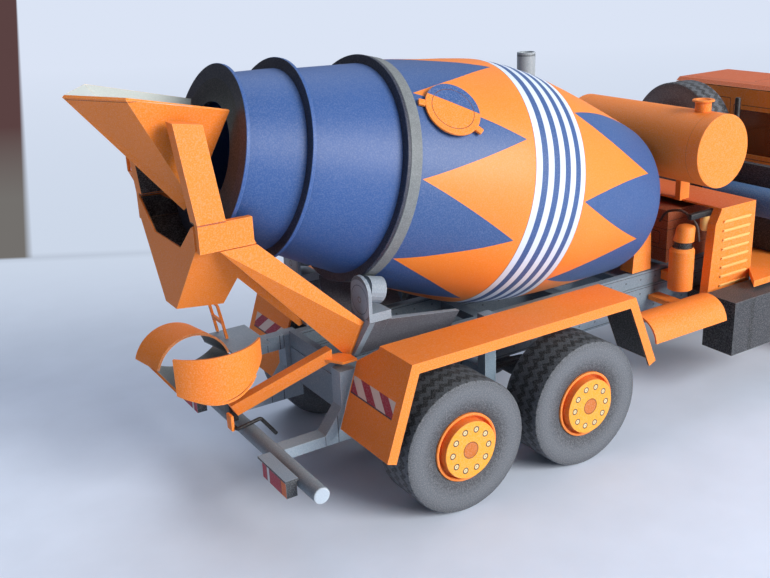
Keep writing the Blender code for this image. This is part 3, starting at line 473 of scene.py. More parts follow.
# Underrun guard: two bent arms of grey card and a rolled tube with white end discs.
# The lamps on it are small boxes under a thin hood, with printed lenses.
card = CardPrint("guard_card")
fold = card.either(card.between(card.x, -23.3, -23.05), card.between(card.x, -27.0, -26.8))
colour = card.lay(ink(138, 154, 168), GREY_LINE, card.both(card.side, fold))
GUARD_CARD = card.finish(colour, ink(194, 206, 216))
dress_pair("underrun_arm", GUARD_CARD)
TUBE_X, TUBE_Z, TUBE_R, TUBE_HALF = -40.7, 19.0, 2.05, 40.6
card = CardPrint("tube_card")
cap = card.above(card.out, TUBE_HALF - 0.12)
seam = card.both(card.between(card.z, 18.7, 18.85), card.above(card.x, TUBE_X))
colour = card.lay(card.lay(ink(116, 128, 138), ink(76, 86, 94), seam), ink(172, 186, 200), cap)
half = [(TUBE_HALF, 0.0), (TUBE_HALF, 1.75), (TUBE_HALF - 0.1, 1.8), (TUBE_HALF - 0.1, TUBE_R - 0.1),
        (TUBE_HALF - 0.25, TUBE_R)]
section = [(-s, r) for s, r in half] + half[::-1]
piece = turned((TUBE_X, 0, TUBE_Z), (0, 1, 0), section, steps=64)
TUBE_CARD = card.finish(colour, ink(220, 228, 232))
settle(piece, "guard_tube", TUBE_CARD, ["underrun_tube"])

card = CardPrint("lamp_print")
lens = card.lay(ink(168, 44, 66), ink(206, 206, 210), card.between(card.out, 22.9, 24.2))
lens = card.lay(lens, ink(212, 104, 48), card.above(card.out, 30.2))
lines = card.either(*(card.between(card.out, edge, edge + 0.2) for edge in (22.75, 24.15, 30.1)))
lens = card.lay(lens, ink(70, 20, 30), lines)
face = card.both(card.rear, card.below(card.z, 20.7), card.between(card.out, 20.5, 32.9))
colour = card.lay(ink(56, 60, 65), ink(128, 146, 162), card.top)
LAMP_PRINT = card.finish(card.lay(colour, lens, face), ink(190, 200, 206), cut=0.35)
dress_pair("tail_lamp", LAMP_PRINT)

# Roller brackets that carry the drum's ring, and the orange pedestal at its front end.
# The brackets are pale card boxes with long tapered tails; the roller's pin is a printed ring.
card = CardPrint("bracket_card")
pin = card.away(card.out, 18.2, card.z, 53.4)
# Painted shade: the rear cheek, which faces away from the light, is printed darker grey.
shaded_cheek = card.both(card.rear, card.above(card.z, 49.0))
colour = card.lay(ink(134, 146, 158), ink(104, 110, 114), shaded_cheek)
colour = card.lay(colour, ink(152, 162, 172), card.both(shaded_cheek, card.below(pin, 5.0)))
colour = card.lay(colour, ink(120, 104, 88), card.both(card.rear, card.between(pin, 0.55, 0.8)))
outlines = card.both(shaded_cheek, card.between(pin, 3.55, 3.7))
tail = card.both(card.side, card.above(card.x, -14.0), card.below(card.z, 48.4))
colour = card.lay(colour, ink(92, 92, 100), tail)
seam = card.both(card.side, card.between(card.z, 48.3, 48.5))
colour = card.lay(colour, GREY_LINE, card.either(outlines, seam))
BRACKET_CARD = card.finish(colour, ink(206, 216, 226))
dress_pair("roller_bracket", BRACKET_CARD)
ORANGE_CARD = plain_card("orange_card", ORANGE, ORANGE_EDGE)
dress("drum_pedestal", ORANGE_CARD)

# Mixing drum: rolled cones of card with flanges standing out where they join.
# The rear cones are blue; the belly is printed with blue and orange points and a band of
# white and blue rings. The ring it rolls on is a grey strip, glued round the last flange.
DRUM_TILT = 0.2493
DRUM_X, DRUM_Z = -43.5, 90.4
DRUM_AXIS = Vector((math.cos(DRUM_TILT), 0, -math.sin(DRUM_TILT)))
DRUM_UP = Vector((math.sin(DRUM_TILT), 0, math.cos(DRUM_TILT)))
DRUM_BLUE, DRUM_EDGE = ink(46, 82, 138), ink(80, 112, 168)
FLANGE_SHADE_NAVY = ink(28, 33, 52)
POINTS = 8               # points round the drum, in each of two zigzags
REAR_ROOT, REAR_REACH, REAR_FIRST = 69.5, 28.0, 17.0            # place along the drum, depth, and
FRONT_TIP, FRONT_REACH, FRONT_FIRST = 122.4, 31.8, 64.0         # degrees to the first point
RING_BACK, RING_FRONT = 37.55, 40.7
BAND_START, BAND_END, BAND_PITCH = 71.8, 89.9, 4.02


def drum_lines(card):
    """Distance along the drum's axis, distance from it, and degrees from its top towards the right."""
    x, z = card.less(card.x, DRUM_X), card.less(card.z, DRUM_Z)
    along = card.plus(card.times(x, DRUM_AXIS.x), card.times(z, DRUM_AXIS.z))
    up = card.plus(card.times(x, DRUM_UP.x), card.times(z, DRUM_UP.z))
    turn = card.times(card.sum("ARCTAN2", card.times(card.y, -1.0), up), 180 / math.pi)
    return along, card.away(card.y, 0.0, up, 0.0), turn


def from_point(card, turn, first):
    """0 on the line through a point of the pattern, 1 half-way to the next."""
    return card.sum("DIVIDE", card.sum("PINGPONG", card.less(turn, first), 180 / POINTS), 180 / POINTS)


def drum_points(card, along, turn):
    """The blue of the belly: behind the rear zigzag, and in front of the other one."""
    rear = card.less(REAR_ROOT, card.times(from_point(card, turn, REAR_FIRST), REAR_REACH))
    front = card.less(FRONT_TIP, card.times(from_point(card, turn, FRONT_FIRST), FRONT_REACH))
    rear_blue = card.below(card.less(along, rear), 0.0, 0.12)
    front_blue = card.above(card.less(along, front), 0.0, 0.12)
    return card.either(card.both(rear_blue, card.below(along, BAND_START)),
                       card.both(front_blue, card.above(along, BAND_END)))


card = CardPrint("drum_print")
along, radius, turn = drum_lines(card)
colour = card.lay(ORANGE, DRUM_BLUE, drum_points(card, along, turn))
rings = card.sum("FLOORED_MODULO", card.less(along, BAND_START), BAND_PITCH)
rings = card.lay(DRUM_BLUE, ink(206, 218, 236), card.between(rings, 0.06, 2.1))
colour = card.lay(colour, rings, card.between(along, BAND_START, BAND_END))
rims = card.either(card.between(along, BAND_START - 0.12, BAND_START + 0.06, 0.08),
                   card.between(along, BAND_END - 0.06, BAND_END + 0.12, 0.08))
colour = card.lay(colour, ink(150, 90, 60), rims)
colour = card.lay(colour, ink(42, 82, 144), card.below(along, RING_FRONT))
wall = card.size(card.plus(card.times(card.nx, DRUM_AXIS.x), card.times(card.nz, DRUM_AXIS.z)))
# Painted shade: the flanges' faces, and the outer rim up to the track, are printed navy, darker than the
# drum's blue, as they look in shade.
flange = card.either(card.above(wall, 0.8), card.both(card.above(radius, 27.6), card.above(along, 36.0)))
flange = card.both(flange, card.below(along, RING_FRONT + 0.3))
colour = card.lay(colour, FLANGE_SHADE_NAVY, flange)
# Painted shade: inside the drum's mouth the card is printed near-black.
colour = card.lay(colour, ink(20, 21, 28), card.both(card.below(radius, 17.2), card.below(along, 12.0)))
DRUM_PRINT = card.finish(colour, DRUM_EDGE, cut=0.35, fleck=0.07, rough=0.5, fold=0.15)
card.shader.inputs["Specular IOR Level"].default_value = 0.5
section = []
for start, behind, r, ahead in ((0.0, 12.0, 20.6, 18.4), (14.2, 21.6, 24.2, 21.4), (36.6, 26.2, 28.4, 27.0)):
    section += [(start, behind), (start, r - 0.1), (start + 0.1, r), (start + 0.8, r), (start + 0.9, r - 0.1),
                (start + 0.9, ahead)]
section += [(40.75, 27.0), (40.75, 27.7), (47.5, 28.9), (55, 30.05), (62, 31.35), (68, 32.3), (70.4, 32.62),
            (72.2, 32.75), (75.5, 32.8), (80, 32.65), (85, 32.2), (90, 31.5), (98, 29.95), (106, 28.2),
            (114, 26.25), (121, 24.5), (126, 23.2), (128, 22.6), (129.5, 21.9), (131, 20.8), (132.2, 19.4),
            (133.2, 17.4), (133.9, 15.0), (134.3, 12.0), (134.6, 8.5), (134.8, 5.0), (134.8, 3.0),
            (135.95, 3.0), (136.0, 2.9), (136.0, 0.0)]
inner = [(133.4, 0.0), (132.6, 12.0), (131.0, 18.0), (121, 23.7), (106, 27.4), (90, 30.7), (71.6, 31.9),
         (40.7, 26.0), (36.6, 25.4), (14.2, 20.8), (0.9, 17.6), (0.9, 12.0), (0, 12.0)]
piece = turned((DRUM_X, 0, DRUM_Z), DRUM_AXIS, section + inner, steps=160)
settle(piece, "drum_cones", DRUM_PRINT, ["drum_shell"], "drum", 24)

card = CardPrint("ring_card")
along, radius, turn = drum_lines(card)
colour = card.lay(ink(120, 126, 128), ink(98, 104, 108), card.grain(0.35, 5.0))
RING_CARD = card.finish(colour, ink(126, 132, 134), fleck=0.1)
section = [(RING_BACK, 27.1), (RING_BACK, 28.3), (RING_BACK + 0.1, 28.4), (RING_FRONT - 0.1, 28.4),
           (RING_FRONT, 28.3), (RING_FRONT, 27.1), (RING_BACK, 27.1)]
piece = turned((DRUM_X, 0, DRUM_Z), DRUM_AXIS, section, steps=160)
settle(piece, "drum_track", RING_CARD, ["drum_ring"], "drum")

# The manhole's lid lies on the belly, with a drawn ring and two tabs that stand out past its rim.
# The drum's points run on across the lid.
MAN_S, MAN_DEG, MAN_R, MAN_OUT = 50.2, 49.8, 7.2, 28.9      # along the drum, round it, and off its axis


def drum_place(along, radius, degrees):
    a = math.radians(degrees)
    out = DRUM_UP * math.cos(a) + Vector((0, -1, 0)) * math.sin(a)
    return Vector((DRUM_X, 0, DRUM_Z)) + DRUM_AXIS * along + out * radius


card = CardPrint("manhole_print")
along, radius, turn = drum_lines(card)
hatch = drum_place(MAN_S, MAN_OUT, MAN_DEG)
slope = (30.0 - 27.7) / (55 - RING_FRONT)        # of the belly's wall under the lid
outward = drum_place(MAN_S, 1, MAN_DEG) - drum_place(MAN_S, 0, MAN_DEG)
lid_up = (outward - DRUM_AXIS * slope).normalized()
apart = card.add("VectorMath")
apart.operation = "DISTANCE"
card.links.new(card.place, apart.inputs[0])
apart.inputs[1].default_value = hatch + lid_up
ring = card.between(apart.outputs["Value"], 5.45, 5.62, 0.08)
colour = card.lay(DRUM_BLUE, ORANGE, drum_points(card, along, turn))
colour = card.lay(colour, ink(90, 50, 40), ring)
MANHOLE_PRINT = card.finish(colour, ORANGE_EDGE, cut=0.4)
section = [(0.75, 0.0), (0.75, MAN_R - 0.1), (0.8, MAN_R), (1.2, MAN_R), (1.3, MAN_R - 0.1), (1.3, 0.0)]
piece = turned(hatch, lid_up, section, steps=96)
settle(piece, "manhole_lid", MANHOLE_PRINT, ["manhole_cover"], "drum")
TAB_LONG, TAB_WIDE, TAB_THICK = 2.2, 1.7, 0.75
for number, (along, degrees) in enumerate(((41.9, 46.3), (55.4, 59.5))):
    reach = drum_place(along, MAN_OUT, degrees) - hatch
    reach = (reach - lid_up * reach.dot(lid_up)).normalized()
    across = lid_up.cross(reach)
    piece = begin("cube", size=1)
    mode("EDIT")
    bpy.ops.mesh.bevel(offset=0.14, segments=2)
    mode("OBJECT")
    middle = hatch + reach * (MAN_R + 0.55) + lid_up * 0.85
    for v in piece.data.vertices:
        x, y, z = v.co.x * TAB_LONG, v.co.y * TAB_WIDE, v.co.z * TAB_THICK
        v.co = at(*(middle + reach * x + across * y + lid_up * z))
    settle(piece, "manhole_tab_%d" % number, ORANGE_CARD, (), "drum")

# Feed hopper over the drum's mouth: card panels glued edge to edge, lined grey inside,
# with the lining printed brown in a patch near the front corner.
def toward(card, u, nu, u0, v, nv, v0):
    """Above 0 on faces that look at the line u0, v0: the inside of a shell."""
    return card.plus(card.times(nu, card.less(u0, u)), card.times(nv, card.less(v0, v)))


card = CardPrint("hopper_print")
inside = toward(card, card.x, card.nx, -54.0, card.y, card.ny, 0.0)
inside = card.above(card.plus(inside, card.times(card.nz, 6.0)), 0.0, 0.5)
brown_patch = card.times(card.away(card.x, -44.0, card.y, -6.0), -0.03)
brown_patch = card.above(card.plus(card.grain(0.12, 4.0), brown_patch), 0.22, 0.3)
lining = card.lay(ink(186, 194, 192), ink(150, 112, 84), card.times(brown_patch, 0.7))
rim_seam = card.both(card.between(card.z, 106.2, 106.35), card.below(card.nz, 0.6))
colour = card.lay(card.lay(ORANGE, ORANGE_LINE, rim_seam), lining, inside)
dress("feed_hopper", card.finish(colour, ORANGE_EDGE))

# Discharge funnel under the mouth, the posts that carry the hopper, the diagonal braces and
# the lower strut with its plate: folded orange card, glued by tabs. The funnel's inside is painted shade,
# printed near-black.
card = CardPrint("funnel_print")
# Painted shade: the funnel's inner faces are printed near-black.
inside = toward(card, card.x, card.nx, -48.6, card.y, card.ny, 0.0)
inside = card.both(card.above(inside, 0.0, 0.5), card.above(card.x, -55.0))
dress("discharge_funnel", card.finish(card.lay(ORANGE, ink(34, 30, 30), inside), ORANGE_EDGE))
card = CardPrint("post_print")
outer = card.times(card.ny, card.sum("SIGN", card.y))
# Painted shade: the posts' inner faces, and the blocks inside the funnel, are printed near-black.
shaded_inner_face = card.either(card.both(card.below(outer, -0.5), card.above(card.z, 79.8)),
                         card.both(card.below(card.out, 17.7), card.below(card.z, 79.7)))
seam = card.both(card.between(card.z, 79.2, 79.55), card.above(outer, 0.5), card.below(card.x, -48.4))
colour = card.lay(card.lay(ORANGE, ink(168, 78, 30), seam), ink(36, 32, 32), shaded_inner_face)
POST_PRINT = card.finish(colour, ORANGE_EDGE)
dress_pair("hopper_leg", POST_PRINT)
dress_pair("brace", ORANGE_CARD)
dress("chute_strut", ORANGE_CARD)

# Chute pivot on the guard's tube, with the bent wire of its crank and the tab of the strut.
# The pivot is a small wrapped block; the crank is black wire.
BLACK_WIRE = plain_card("wire_black", ink(26, 26, 28), ink(70, 70, 72), fleck=0.05, rough=0.42)
piece = folded_box(-44.6, -42.2, 0.2, 3.4, 21.35, 31.2, 0.25)
settle(piece, "pivot_block", BLACK_WIRE, ["chute_pivot"])


def wire(points, thickness, bend=0.8, sides=4):
    """A bent wire or pipe in mm: a curve through its corners, made a closed mesh."""
    bpy.ops.object.select_all(action="DESELECT")
    bpy.ops.curve.primitive_bezier_curve_add()
    curve = bpy.context.active_object
    curve.data.splines.clear()
    spline = curve.data.splines.new("POLY")
    path = [Vector(points[0])]
    for before, here, after in zip(points, points[1:], points[2:]):
        before, here, after = Vector(before), Vector(here), Vector(after)
        a, b = here + (before - here).normalized() * bend, here + (after - here).normalized() * bend
        path += [a.lerp(here, t).lerp(here.lerp(b, t), t) for t in (0, 0.25, 0.5, 0.75, 1)]
    path.append(Vector(points[-1]))
    spline.points.add(len(path) - 1)
    for place, point in zip(spline.points, path):
        place.co = tuple(at(*point)) + (1,)
    curve.data.bevel_depth = thickness / 2 * MM
    curve.data.bevel_resolution = sides
    curve.data.use_fill_caps = True
    curve.data.dimensions = "3D"
    bpy.ops.object.convert(target="MESH")
    close_up()
    return bpy.context.active_object


CRANK_PATH = [(-45.4, -2.4, 22.4), (-45.0, -5.0, 21.9), (-38.5, -5.0, 23.0), (-34.6, -5.0, 17.5)]
piece = wire(CRANK_PATH, 1.0, bend=0.6)
settle(piece, "crank_wire", BLACK_WIRE, ["crank_handle"])
settle(folded_box(-46.2, -45.4, -4.4, -1.5, 21.3, 25.4, 0.12), "strut_tab", ORANGE_CARD)

# Delivery chute: a shallow rolled trough, its curved end wall, and the extension folded over
# it like a hoop. Orange outside and dark grey inside, where the concrete runs.
card = CardPrint("chute_print")
inward = toward(card, card.x, card.nx, -49.0, card.z, card.nz, 38.0)
hoop = card.both(card.above(card.z, 37.3), card.above(card.y, 8.0))
inward = card.both(card.above(inward, 0.0, 0.4), card.above(card.y, -7.5))
grey = card.lay(ink(112, 120, 122), ink(84, 88, 84), hoop)
CHUTE_PRINT = card.finish(card.lay(ORANGE, grey, inward), ORANGE_EDGE, cut=0.6)
TROUGH_X, TROUGH_Z, TROUGH_Y0, TROUGH_Y1 = -49.4, 36.0, -5.0, 17.3
TRAY_HALF, TRAY_DEEP = 9.9, 3.8
WALL_X, WALL_Y, WALL_HALF, WALL_DEEP, WALL_Z0, WALL_Z1 = -48.1, -10.9, 11.3, 5.6, 31.4, 44.7
WALL_BOW, WALL_TILT = 0.031, 0.18        # of its lower edge
HOOP_HALF, HOOP_RISE, HOOP_Y0 = 9.7, 7.4, 8.4
HOOP_LEAN = (-2.0, 1.8, 0.1)             # how far its far edge is pushed over
CARD = 0.6


def arc_of(half, rise):
    """Radius, and half the angle, of an arc over a chord."""
    radius = (half * half + rise * rise) / (2 * rise)
    return radius, math.asin(min(1.0, half / radius))


def rolled(crown, up, axis, start, end, half, rise):
    """A sheet rolled to an arc whose middle is at the crown, from start to end along the axis."""
    up, axis = Vector(up), Vector(axis)
    radius, angle = arc_of(half, rise)
    centre = Vector(crown) - up * radius
    edge = centre + (up.cross(axis) * math.sin(angle) + up * math.cos(angle)) * (radius - CARD / 2)
    return swept([edge + axis * start, edge + axis * end], centre, axis, math.degrees(2 * angle), 48, CARD)


crown = (TROUGH_X, 0, TROUGH_Z - TRAY_DEEP)
piece = rolled(crown, (0, 0, -1), (0, 1, 0), TROUGH_Y0, TROUGH_Y1, TRAY_HALF, TRAY_DEEP)
radius = arc_of(WALL_HALF, WALL_DEEP)[0]
for v in piece.data.vertices:
    if v.co.y < 0:
        from_middle = v.co.x / MM + AXLE_TO_MIDDLE - WALL_X
        v.co.y = (WALL_Y + CARD + radius - math.sqrt(radius ** 2 - from_middle ** 2)) * MM
settle(piece, "chute_tray", CHUTE_PRINT, ["chute_trough"], "chute")
piece = rolled((WALL_X, WALL_Y, 0), (0, -1, 0), (0, 0, 1), WALL_Z0, WALL_Z1, WALL_HALF, WALL_DEEP)
for v in piece.data.vertices:
    if v.co.z < at(0, 0, 38)[2]:
        from_left = v.co.x / MM + AXLE_TO_MIDDLE - WALL_X + WALL_HALF
        v.co.z += (WALL_BOW * (from_left - WALL_HALF) ** 2 + WALL_TILT * from_left) * MM
settle(piece, "chute_end_wall", CHUTE_PRINT, (), "chute")
crown = (TROUGH_X, 0, TROUGH_Z + 0.8 + HOOP_RISE)
piece = rolled(crown, (0, 0, 1), (0, 1, 0), HOOP_Y0, TROUGH_Y1, HOOP_HALF, HOOP_RISE)
mode("EDIT")
bpy.ops.mesh.select_all(action="DESELECT")
drawn = bmesh.from_edit_mesh(piece.data)
for v in drawn.verts:
    v.select = v.co.y > at(0, 13, 0)[1]
drawn.select_flush(True)
bpy.ops.transform.translate(value=Vector(HOOP_LEAN) * MM)
mode("OBJECT")
settle(piece, "chute_hoop", CHUTE_PRINT, ["chute_extension"], "chute")

# Platform on the left at the rear, and the ladder cut from one sheet of orange card.
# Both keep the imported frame's shapes.
dress("platform", GUARD_CARD)
dress("ladder", ORANGE_CARD)

# Water tank across the frame: a rolled tube with glued end discs and a filler neck.
# A thin line is drawn round each end where the strap goes.
TANK_X, TANK_Z, TANK_R, TANK_Y0, TANK_Y1 = 101.8, 74.1, 10.7, -27.2, 28.4
card = CardPrint("tank_print")
bands = card.either(card.between(card.y, TANK_Y0 + 4.2, TANK_Y0 + 4.32, 0.08),
                    card.between(card.y, TANK_Y1 - 3.65, TANK_Y1 - 3.5, 0.08))
bands = card.times(card.both(bands, card.below(card.z, 85.4)), 0.55)
TANK_PRINT = card.finish(card.lay(ORANGE, ORANGE_LINE, bands), ORANGE_EDGE, cut=0.4)
section = [(TANK_Y0, 0.0), (TANK_Y0, TANK_R - 0.15), (TANK_Y0 + 0.12, TANK_R), (TANK_Y1 - 0.12, TANK_R),
           (TANK_Y1, TANK_R - 0.15), (TANK_Y1, 0.0)]
piece = turned((TANK_X, 0, TANK_Z), (0, 1, 0), section, steps=128)
settle(piece, "tank_roll", TANK_PRINT, ["water_tank"])
section = [(-1.5, 0.0), (-1.5, 2.3), (2.5, 2.3), (2.7, 2.45), (2.75, 3.0), (2.85, 3.15), (3.15, 3.15),
           (3.3, 3.0), (3.3, 2.0), (3.0, 1.9), (3.0, 0.0)]
piece = turned((TANK_X, -19.0, TANK_Z + TANK_R), (0, 0, 1), section, steps=64)
settle(piece, "tank_filler", TANK_PRINT)

# Housing of the mixer's engine: a box of orange card whose slats stand out of its side.
# Its top is printed darker as the tank's painted shadow, and its inner faces darker still as painted shade.
SLATS, SLAT_PITCH, SLAT_Z, SLAT_HALF = 8, 2.9, 31.4, 0.42
card = CardPrint("housing_print")
high = card.above(card.z, 50.0)
# Painted shadow: a dark line printed under each slat.
slat_shadow_line = card.both(card.below(card.ny, -0.5), card.between(card.x, 107.6, 118.8),
                      card.below(card.sum("PINGPONG", card.less(card.z, 31.05), SLAT_PITCH / 2), 0.16))
colour = card.lay(ORANGE, ink(120, 60, 24), card.both(slat_shadow_line, card.between(card.z, 30.5, 53.0)))
# Painted shade: the top is printed darker for the tank's shadow, and the faces under it much darker.
colour = card.lay(colour, ink(204, 98, 36), card.both(card.top, high))
colour = card.lay(colour, ink(84, 38, 18), card.both(card.below(card.nz, -0.5), high))
dress("engine_cover", card.finish(colour, ORANGE_EDGE, cut=0.55))
# Painted highlight: the slats are printed pale yellow, as they look in light; the elbow gets the same pale
# card.
PALE_HIGHLIGHT_CARD = plain_card("slat_card", ink(252, 196, 112), ink(255, 226, 166), cut=0.7)
for number in range(SLATS):
    z = SLAT_Z + SLAT_PITCH * number
    piece = folded_box(107.2, 119.2, -25.7, -24.8, z - SLAT_HALF, z + SLAT_HALF, 0.16)
    for v in piece.data.vertices:
        if v.co.y < -25.25 * MM and v.co.z < z * MM:
            v.co.y += 0.35 * MM
    settle(piece, "housing_slat_%d" % number, PALE_HIGHLIGHT_CARD)

# The engine under it is a block with drawn joints, a black manifold with an elbow and a dark
# hose. The air filter on its bracket leans a little at the top.
card = CardPrint("engine_print")
joints = card.either(*(card.between(card.z, joint, joint + 0.2) for joint in (41.0, 47.4, 50.2)))
joints = card.both(joints, card.below(card.nz, 0.5))
block_line = card.both(card.rear, card.frame_line(card.y, -8.0, 12.0, card.z, 42.4, 46.4))
# Painted shade: the block's base colour is a dark orange, as it looks under the housing.
colour = card.lay(ink(150, 72, 28), ink(60, 28, 14), card.either(joints, block_line))
dress("mixer_engine", card.finish(colour, ORANGE_EDGE))
settle(folded_box(96.6, 110.8, -21.95, -20.25, 53.3, 55.1, 0.3), "engine_manifold", BLACK_WIRE)
section = [(48.6, 0.0), (48.6, 1.2), (49.2, 1.55), (51.4, 1.7), (53.0, 1.5), (53.5, 1.2), (53.5, 0.0)]
piece = turned((104.8, -20.4, 0), (0, 0, 1), section, steps=32)
# Painted highlight: the elbow is printed pale, as it looks in light.
settle(piece, "engine_elbow", PALE_HIGHLIGHT_CARD)
HOSE_GREY = plain_card("hose_grey", ink(62, 46, 40), ink(110, 90, 80), fleck=0.06, rough=0.5)
HOSE_PATH = [(99.2, -7.6, 49.6), (98.4, -10.4, 53.6), (98.8, -16.6, 55.2), (100.2, -21.4, 51.4),
             (101.0, -21.6, 46.0)]
piece = wire(HOSE_PATH, 0.8, bend=2.4)
settle(piece, "engine_hose", HOSE_GREY)

FILTER_X, FILTER_Y, FILTER_Z = 96.6, -19.2, 31.4
card = CardPrint("filter_print")
band = card.between(card.z, FILTER_Z + 13.15, FILTER_Z + 15.05, 0.05)
FILTER_PRINT = card.finish(card.lay(ORANGE, ink(28, 27, 28), band), ORANGE_EDGE, cut=0.4)
section = [(0, 0.0), (0, 3.6), (0.1, 3.7), (12.3, 3.7), (13.2, 3.0), (13.2, 2.5), (15.0, 2.5), (15.0, 2.9),
           (15.1, 3.0), (19.0, 2.75), (19.5, 2.4), (19.8, 1.6), (19.8, 0.0)]
piece = turned((FILTER_X, FILTER_Y, FILTER_Z), (0, 0, 1), section, steps=64)
for v in piece.data.vertices:
    v.co.x += max(0.0, v.co.z - (FILTER_Z + 12.0) * MM) * 0.16
settle(piece, "filter_canister", FILTER_PRINT, ["air_filter"])
settle(folded_box(95.0, 98.2, -17.2, -12.8, 33.0, 36.0), "filter_bracket", ORANGE_CARD)

# Exhaust on the left: a rolled silencer, its riser and the open stack.
# The stack's glued joints are drawn as darker bands.
card = CardPrint("stack_card")
bands = card.both(card.between(card.sum("PINGPONG", card.z, 9.0), 8.7, 9.0), card.above(card.z, 46.0))
STACK_CARD = card.finish(card.lay(ink(150, 160, 168), ink(96, 104, 110), bands), GREY_EDGE)
section = [(0, 0.0), (0, 2.9), (55.4, 2.9), (55.6, 2.8), (55.6, 2.35), (55.5, 2.3), (4.0, 2.3), (4.0, 0.0)]
piece = turned((80.0, 34.0, 44.3), (0, 0, 1), section, steps=64)
settle(piece, "stack_pipe", STACK_CARD, ["exhaust_stack"])
section = [(68.0, 0.0), (68.0, 5.9), (68.7, 6.6), (95.3, 6.6), (96.0, 5.9), (96.0, 0.0)]
piece = turned((0, 31.2, 29.0), (1, 0, 0), section, steps=64)
settle(piece, "silencer_roll", STACK_CARD)
for name, x0, x1, y0, y1, z0, z1 in (("stack_riser", 78.0, 82.0, 31.5, 36.4, 30.0, 46.0),
                                     ("silencer_bracket", 78.0, 84.0, 12.8, 28.0, 26.0, 29.0)):
    settle(folded_box(x0, x1, y0, y1, z0, z1, 0.25), name, STACK_CARD)

# Carrier and air tank behind the cab, and the deck, whose rear edge is cut in between the rails.
# The air tank is a blue roll with two drawn straps.
DARK_BOX = plain_card("dark_card", ink(44, 47, 52), ink(100, 104, 110))
dress("wheel_carrier", DARK_BOX)
DECK_PLAN = ((112.0, -34.0), (149.5, -34.0), (149.5, 34.0), (112.0, 34.0), (122.0, 24.0), (122.0, -24.0))
piece = begin("cylinder", vertices=len(DECK_PLAN), radius=1, depth=1)
for v in piece.data.vertices:
    corner = round((math.degrees(math.atan2(v.co.y, v.co.x)) - 30) / 60) % len(DECK_PLAN)
    v.co = at(*DECK_PLAN[corner], 32.4 if v.co.z < 0 else 34.35)
settle(piece, "deck_sheet", ORANGE_CARD, ["rear_deck"])
card = CardPrint("air_tank_print")
bands = card.either(card.between(card.y, -27.4, -27.1), card.between(card.y, -3.0, -2.7))
AIR_PRINT = card.finish(card.lay(ink(50, 92, 138), ink(26, 42, 74), bands), ink(96, 140, 186))
section = [(-31.0, 0), (-31.0, 3.6), (-30.7, 4.2), (-30.2, 4.6), (0.2, 4.6), (0.7, 4.2), (1.0, 3.6), (1.0, 0)]
piece = turned((131.5, 0, 52.5), (0, 1, 0), section, steps=64)
settle(piece, "air_tank_roll", AIR_PRINT, ["air_tank"])

# Hung from the rails: the stored half-round chute on the right, the fuel tank, and the battery box
# on the left. The end walls of both boxes are printed near-black as painted shade.
STORED_Y, STORED_Z, STORED_HALF, STORED_RISE = -30.5, 26.5, 7.0, 6.4
crown = (0, STORED_Y, STORED_Z + STORED_RISE)
piece = rolled(crown, (0, 0, 1), (1, 0, 0), 67.5, 96.4, STORED_HALF, STORED_RISE)
card = CardPrint("stored_chute_print")
inward = card.above(toward(card, card.y, card.ny, STORED_Y, card.z, card.nz, 25.0), 0.0, 0.4)
STORED_PRINT = card.finish(card.lay(ORANGE, ink(96, 100, 100), inward), ORANGE_EDGE, cut=0.6)
settle(piece, "stored_half_pipe", STORED_PRINT, ["stored_chute"])
piece = folded_box(90.0, 94.5, -30.0, -12.8, 27.4, 29.0, 0.15)
settle(piece, "stored_pipe_bracket", ORANGE_CARD)

card = CardPrint("tank_box_print")
# Painted shade: the end walls are printed near-black.
shaded_ends = card.above(card.size(card.nx), 0.5)
straps = card.either(card.between(card.x, 106.0, 108.0), card.between(card.x, 125.0, 127.0))
colour = card.lay(ink(48, 51, 57), ink(28, 29, 32), shaded_ends)
colour = card.lay(colour, ink(34, 37, 42), card.both(straps, card.below(shaded_ends, 0.5)))
# Painted highlight: the outer part of the top is printed paler.
colour = card.lay(colour, ink(54, 58, 64), card.both(card.top, card.above(card.out, 20.0)))
TANK_BOX = card.finish(colour, ink(170, 176, 180), cut=0.4)
dress("fuel_tank", TANK_BOX)
dress("battery_box", TANK_BOX)

# Cab: one wrap of orange card with the doors, panels and handles drawn on, clear film behind
# the windows, and a flat roof that falls towards the front.
card = CardPrint("cab_print")
door = card.both(card.side, card.either(card.frame_line(card.x, 161.5, 186.0, card.z, 30.0, 78.5),
                                        card.frame_line(card.x, 163.0, 184.5, card.z, 41.0, 57.0)))
handle = card.both(card.side, card.between(card.x, 163.5, 167.5), card.between(card.z, 55.0, 56.2))
PANELS = ((-36.0, -14.0, 41.0, 56.0), (14.0, 36.0, 41.0, 56.0), (-36.0, -14.0, 59.5, 79.0),
          (14.0, 36.0, 59.5, 79.0), (-12.5, 12.5, 59.0, 77.0))       # y from and to, z from and to
panels = card.either(*(card.frame_line(card.y, y0, y1, card.z, z0, z1) for y0, y1, z0, z1 in PANELS))
grille = card.both(card.front, card.below(card.out, 26.0), card.between(card.z, 40.0, 55.0),
                   card.below(card.sum("PINGPONG", card.z, 1.5), 0.55))
lamps = card.both(card.front, card.between(card.out, 28.0, 36.0), card.between(card.z, 30.0, 36.0))
colour = card.lay(ORANGE, ORANGE_LINE, card.either(door, card.both(card.rear, panels)))
colour = card.lay(colour, ink(50, 40, 36), card.either(handle, grille))
colour = card.lay(colour, ink(225, 230, 232), lamps)
dress("cab_shell", card.finish(colour, ORANGE_EDGE))
card = CardPrint("roof_print")
drawn = card.either(card.frame_line(card.x, 163.0, 178.0, card.y, -11.0, 11.0),
                    card.between(card.x, 158.6, 158.9), card.between(card.x, 160.4, 160.7))
